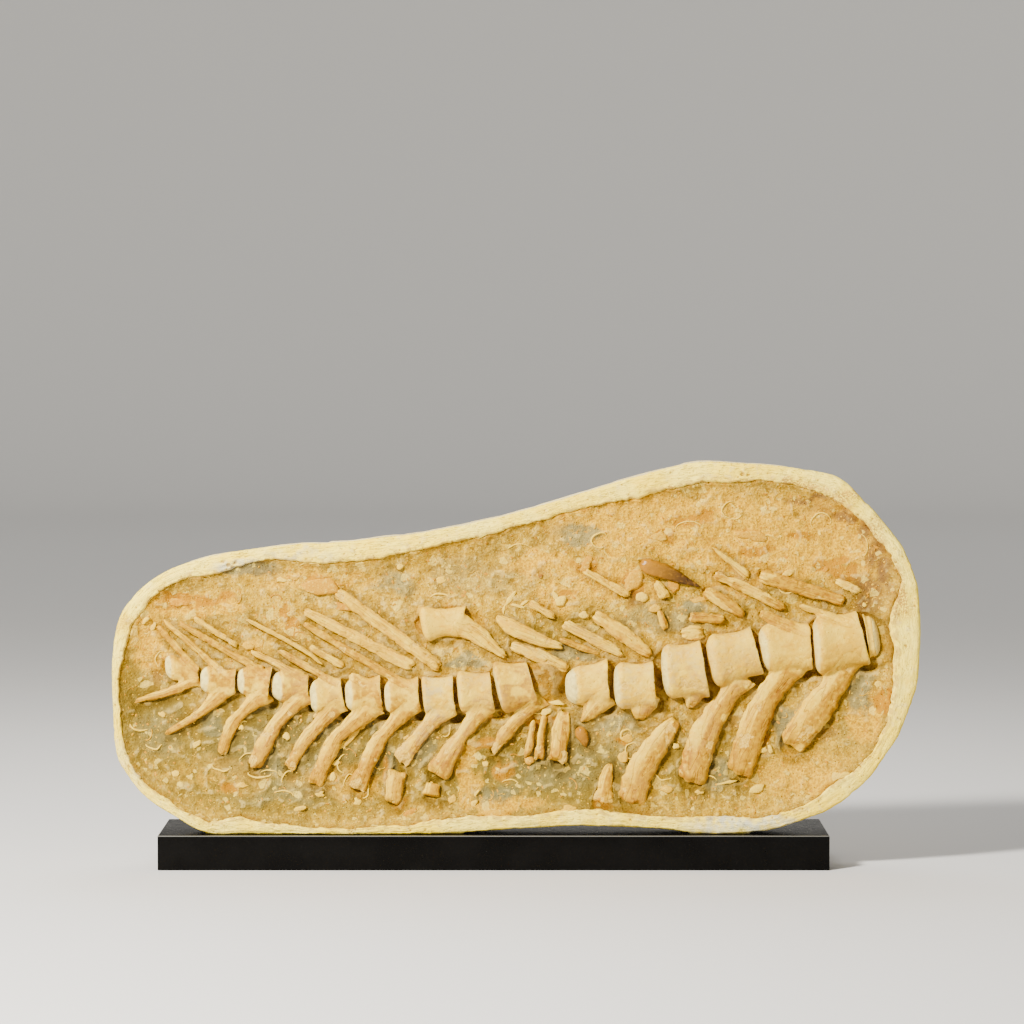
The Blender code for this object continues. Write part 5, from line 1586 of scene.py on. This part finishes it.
display_stand = add_piece("display_stand", stand_mesh())
settle(display_stand, "stand_base", lacquer_finish())


# The studio: a round pale floor that turns up far outside the camera's reach, soft lights from the
# upper left, and the camera where the photograph was taken. None of it is part of the specimen.

FLOOR_REACH = 7.0
FLOOR_RADIUS = 2.0
FLOOR_TOP = 4.0
FLOOR_SIDES = 96
FLOOR_CURVE_STEPS = 16


def floor_mesh():
    """A round floor that turns up into a low wall all round."""
    profile = []
    for step in range(FLOOR_CURVE_STEPS + 1):
        angle = math.pi / 2 * step / FLOOR_CURVE_STEPS
        profile.append((FLOOR_REACH + FLOOR_RADIUS * math.sin(angle),
                        FLOOR_RADIUS * (1 - math.cos(angle))))
    profile.append((FLOOR_REACH + FLOOR_RADIUS, FLOOR_TOP))
    built = bmesh.new()
    rings = []
    for reach, height in profile:
        turns = [2 * math.pi * side / FLOOR_SIDES for side in range(FLOOR_SIDES)]
        rings.append([built.verts.new((reach * math.cos(turn), reach * math.sin(turn), height))
                      for turn in turns])
    built.faces.new(rings[0])
    for low, high in zip(rings, rings[1:]):
        for side in range(FLOOR_SIDES):
            after = (side + 1) % FLOOR_SIDES
            built.faces.new((low[after], low[side], high[side], high[after]))
    mesh = bpy.data.meshes.new("studio_floor")
    built.to_mesh(mesh)
    built.free()
    mesh.shade_smooth()
    return mesh


floor_paper = Finish("floor_paper", {"Specular IOR Level": 0.1})
floor_cloud = floor_paper.speckle(300.0, 2.0)
# The paper is painted paler further out, to make up for the light that falls off there.
far_floor_lightening = floor_paper.place.work_vector("LENGTH").step(1.0, 6.0)
floor_colour = floor_paper.blend(far_floor_lightening, (0.58, 0.56, 0.53, 1.0), (0.86, 0.84, 0.80, 1.0))
floor_paper.feed(floor_colour, floor_cloud * 0.1 + 0.8, floor_paper.relief(floor_cloud, 0.1))
studio_floor = add_piece("studio_floor", floor_mesh())
studio_floor.data.materials.append(floor_paper.material)


def add_light(name, place, aim, size, power, colour):
    """A square soft light that faces a point."""
    lamp = bpy.data.lights.new(name, "AREA")
    lamp.shape = "SQUARE"
    lamp.size = size
    lamp.energy = power
    lamp.color = colour
    holder = bpy.data.objects.new(name, lamp)
    bpy.context.scene.collection.objects.link(holder)
    holder.location = place
    gone = np.array(aim) - np.array(place)
    flat = math.hypot(gone[0], gone[1])
    holder.rotation_euler = (math.atan2(flat, -gone[2]), 0.0, math.atan2(-gone[0], gone[1]))


add_light("key_light", (-1.6, -1.95, 1.85), (0.0, 0.0, 0.2), 0.42, 345.0, (1.0, 0.98, 0.93))
add_light("fill_light", (1.6, -2.6, 1.0), (0.0, 0.0, 0.2), 1.6, 16.0, (0.98, 0.99, 1.0))
add_light("edge_light", (0.0, 0.9, 1.5), (0.0, 0.0, 0.1), 1.0, 16.0, (1.0, 1.0, 1.0))

world = bpy.data.worlds.new("studio")
world.use_nodes = True
world.node_tree.nodes["Background"].inputs["Color"].default_value = (0.97, 0.98, 1.0, 1.0)
world.node_tree.nodes["Background"].inputs["Strength"].default_value = 0.4
bpy.context.scene.world = world

CAMERA_LENS = 140.9
CAMERA_PLACE = (-0.00414, -4.057, 0.560)
CAMERA_AIM_HEIGHT = 0.359

camera_lens = bpy.data.cameras.new("camera")
camera_lens.lens = CAMERA_LENS
camera_lens.sensor_width = 36.0
camera_lens.clip_end = 50.0
camera = bpy.data.objects.new("camera", camera_lens)
bpy.context.scene.collection.objects.link(camera)
camera.location = CAMERA_PLACE
drop = CAMERA_PLACE[2] - CAMERA_AIM_HEIGHT
away = -CAMERA_PLACE[1] + SLAB_ORIGIN[1]
camera.rotation_euler = (math.pi / 2 - math.atan2(drop, away), 0.0, 0.0)
bpy.context.scene.camera = camera
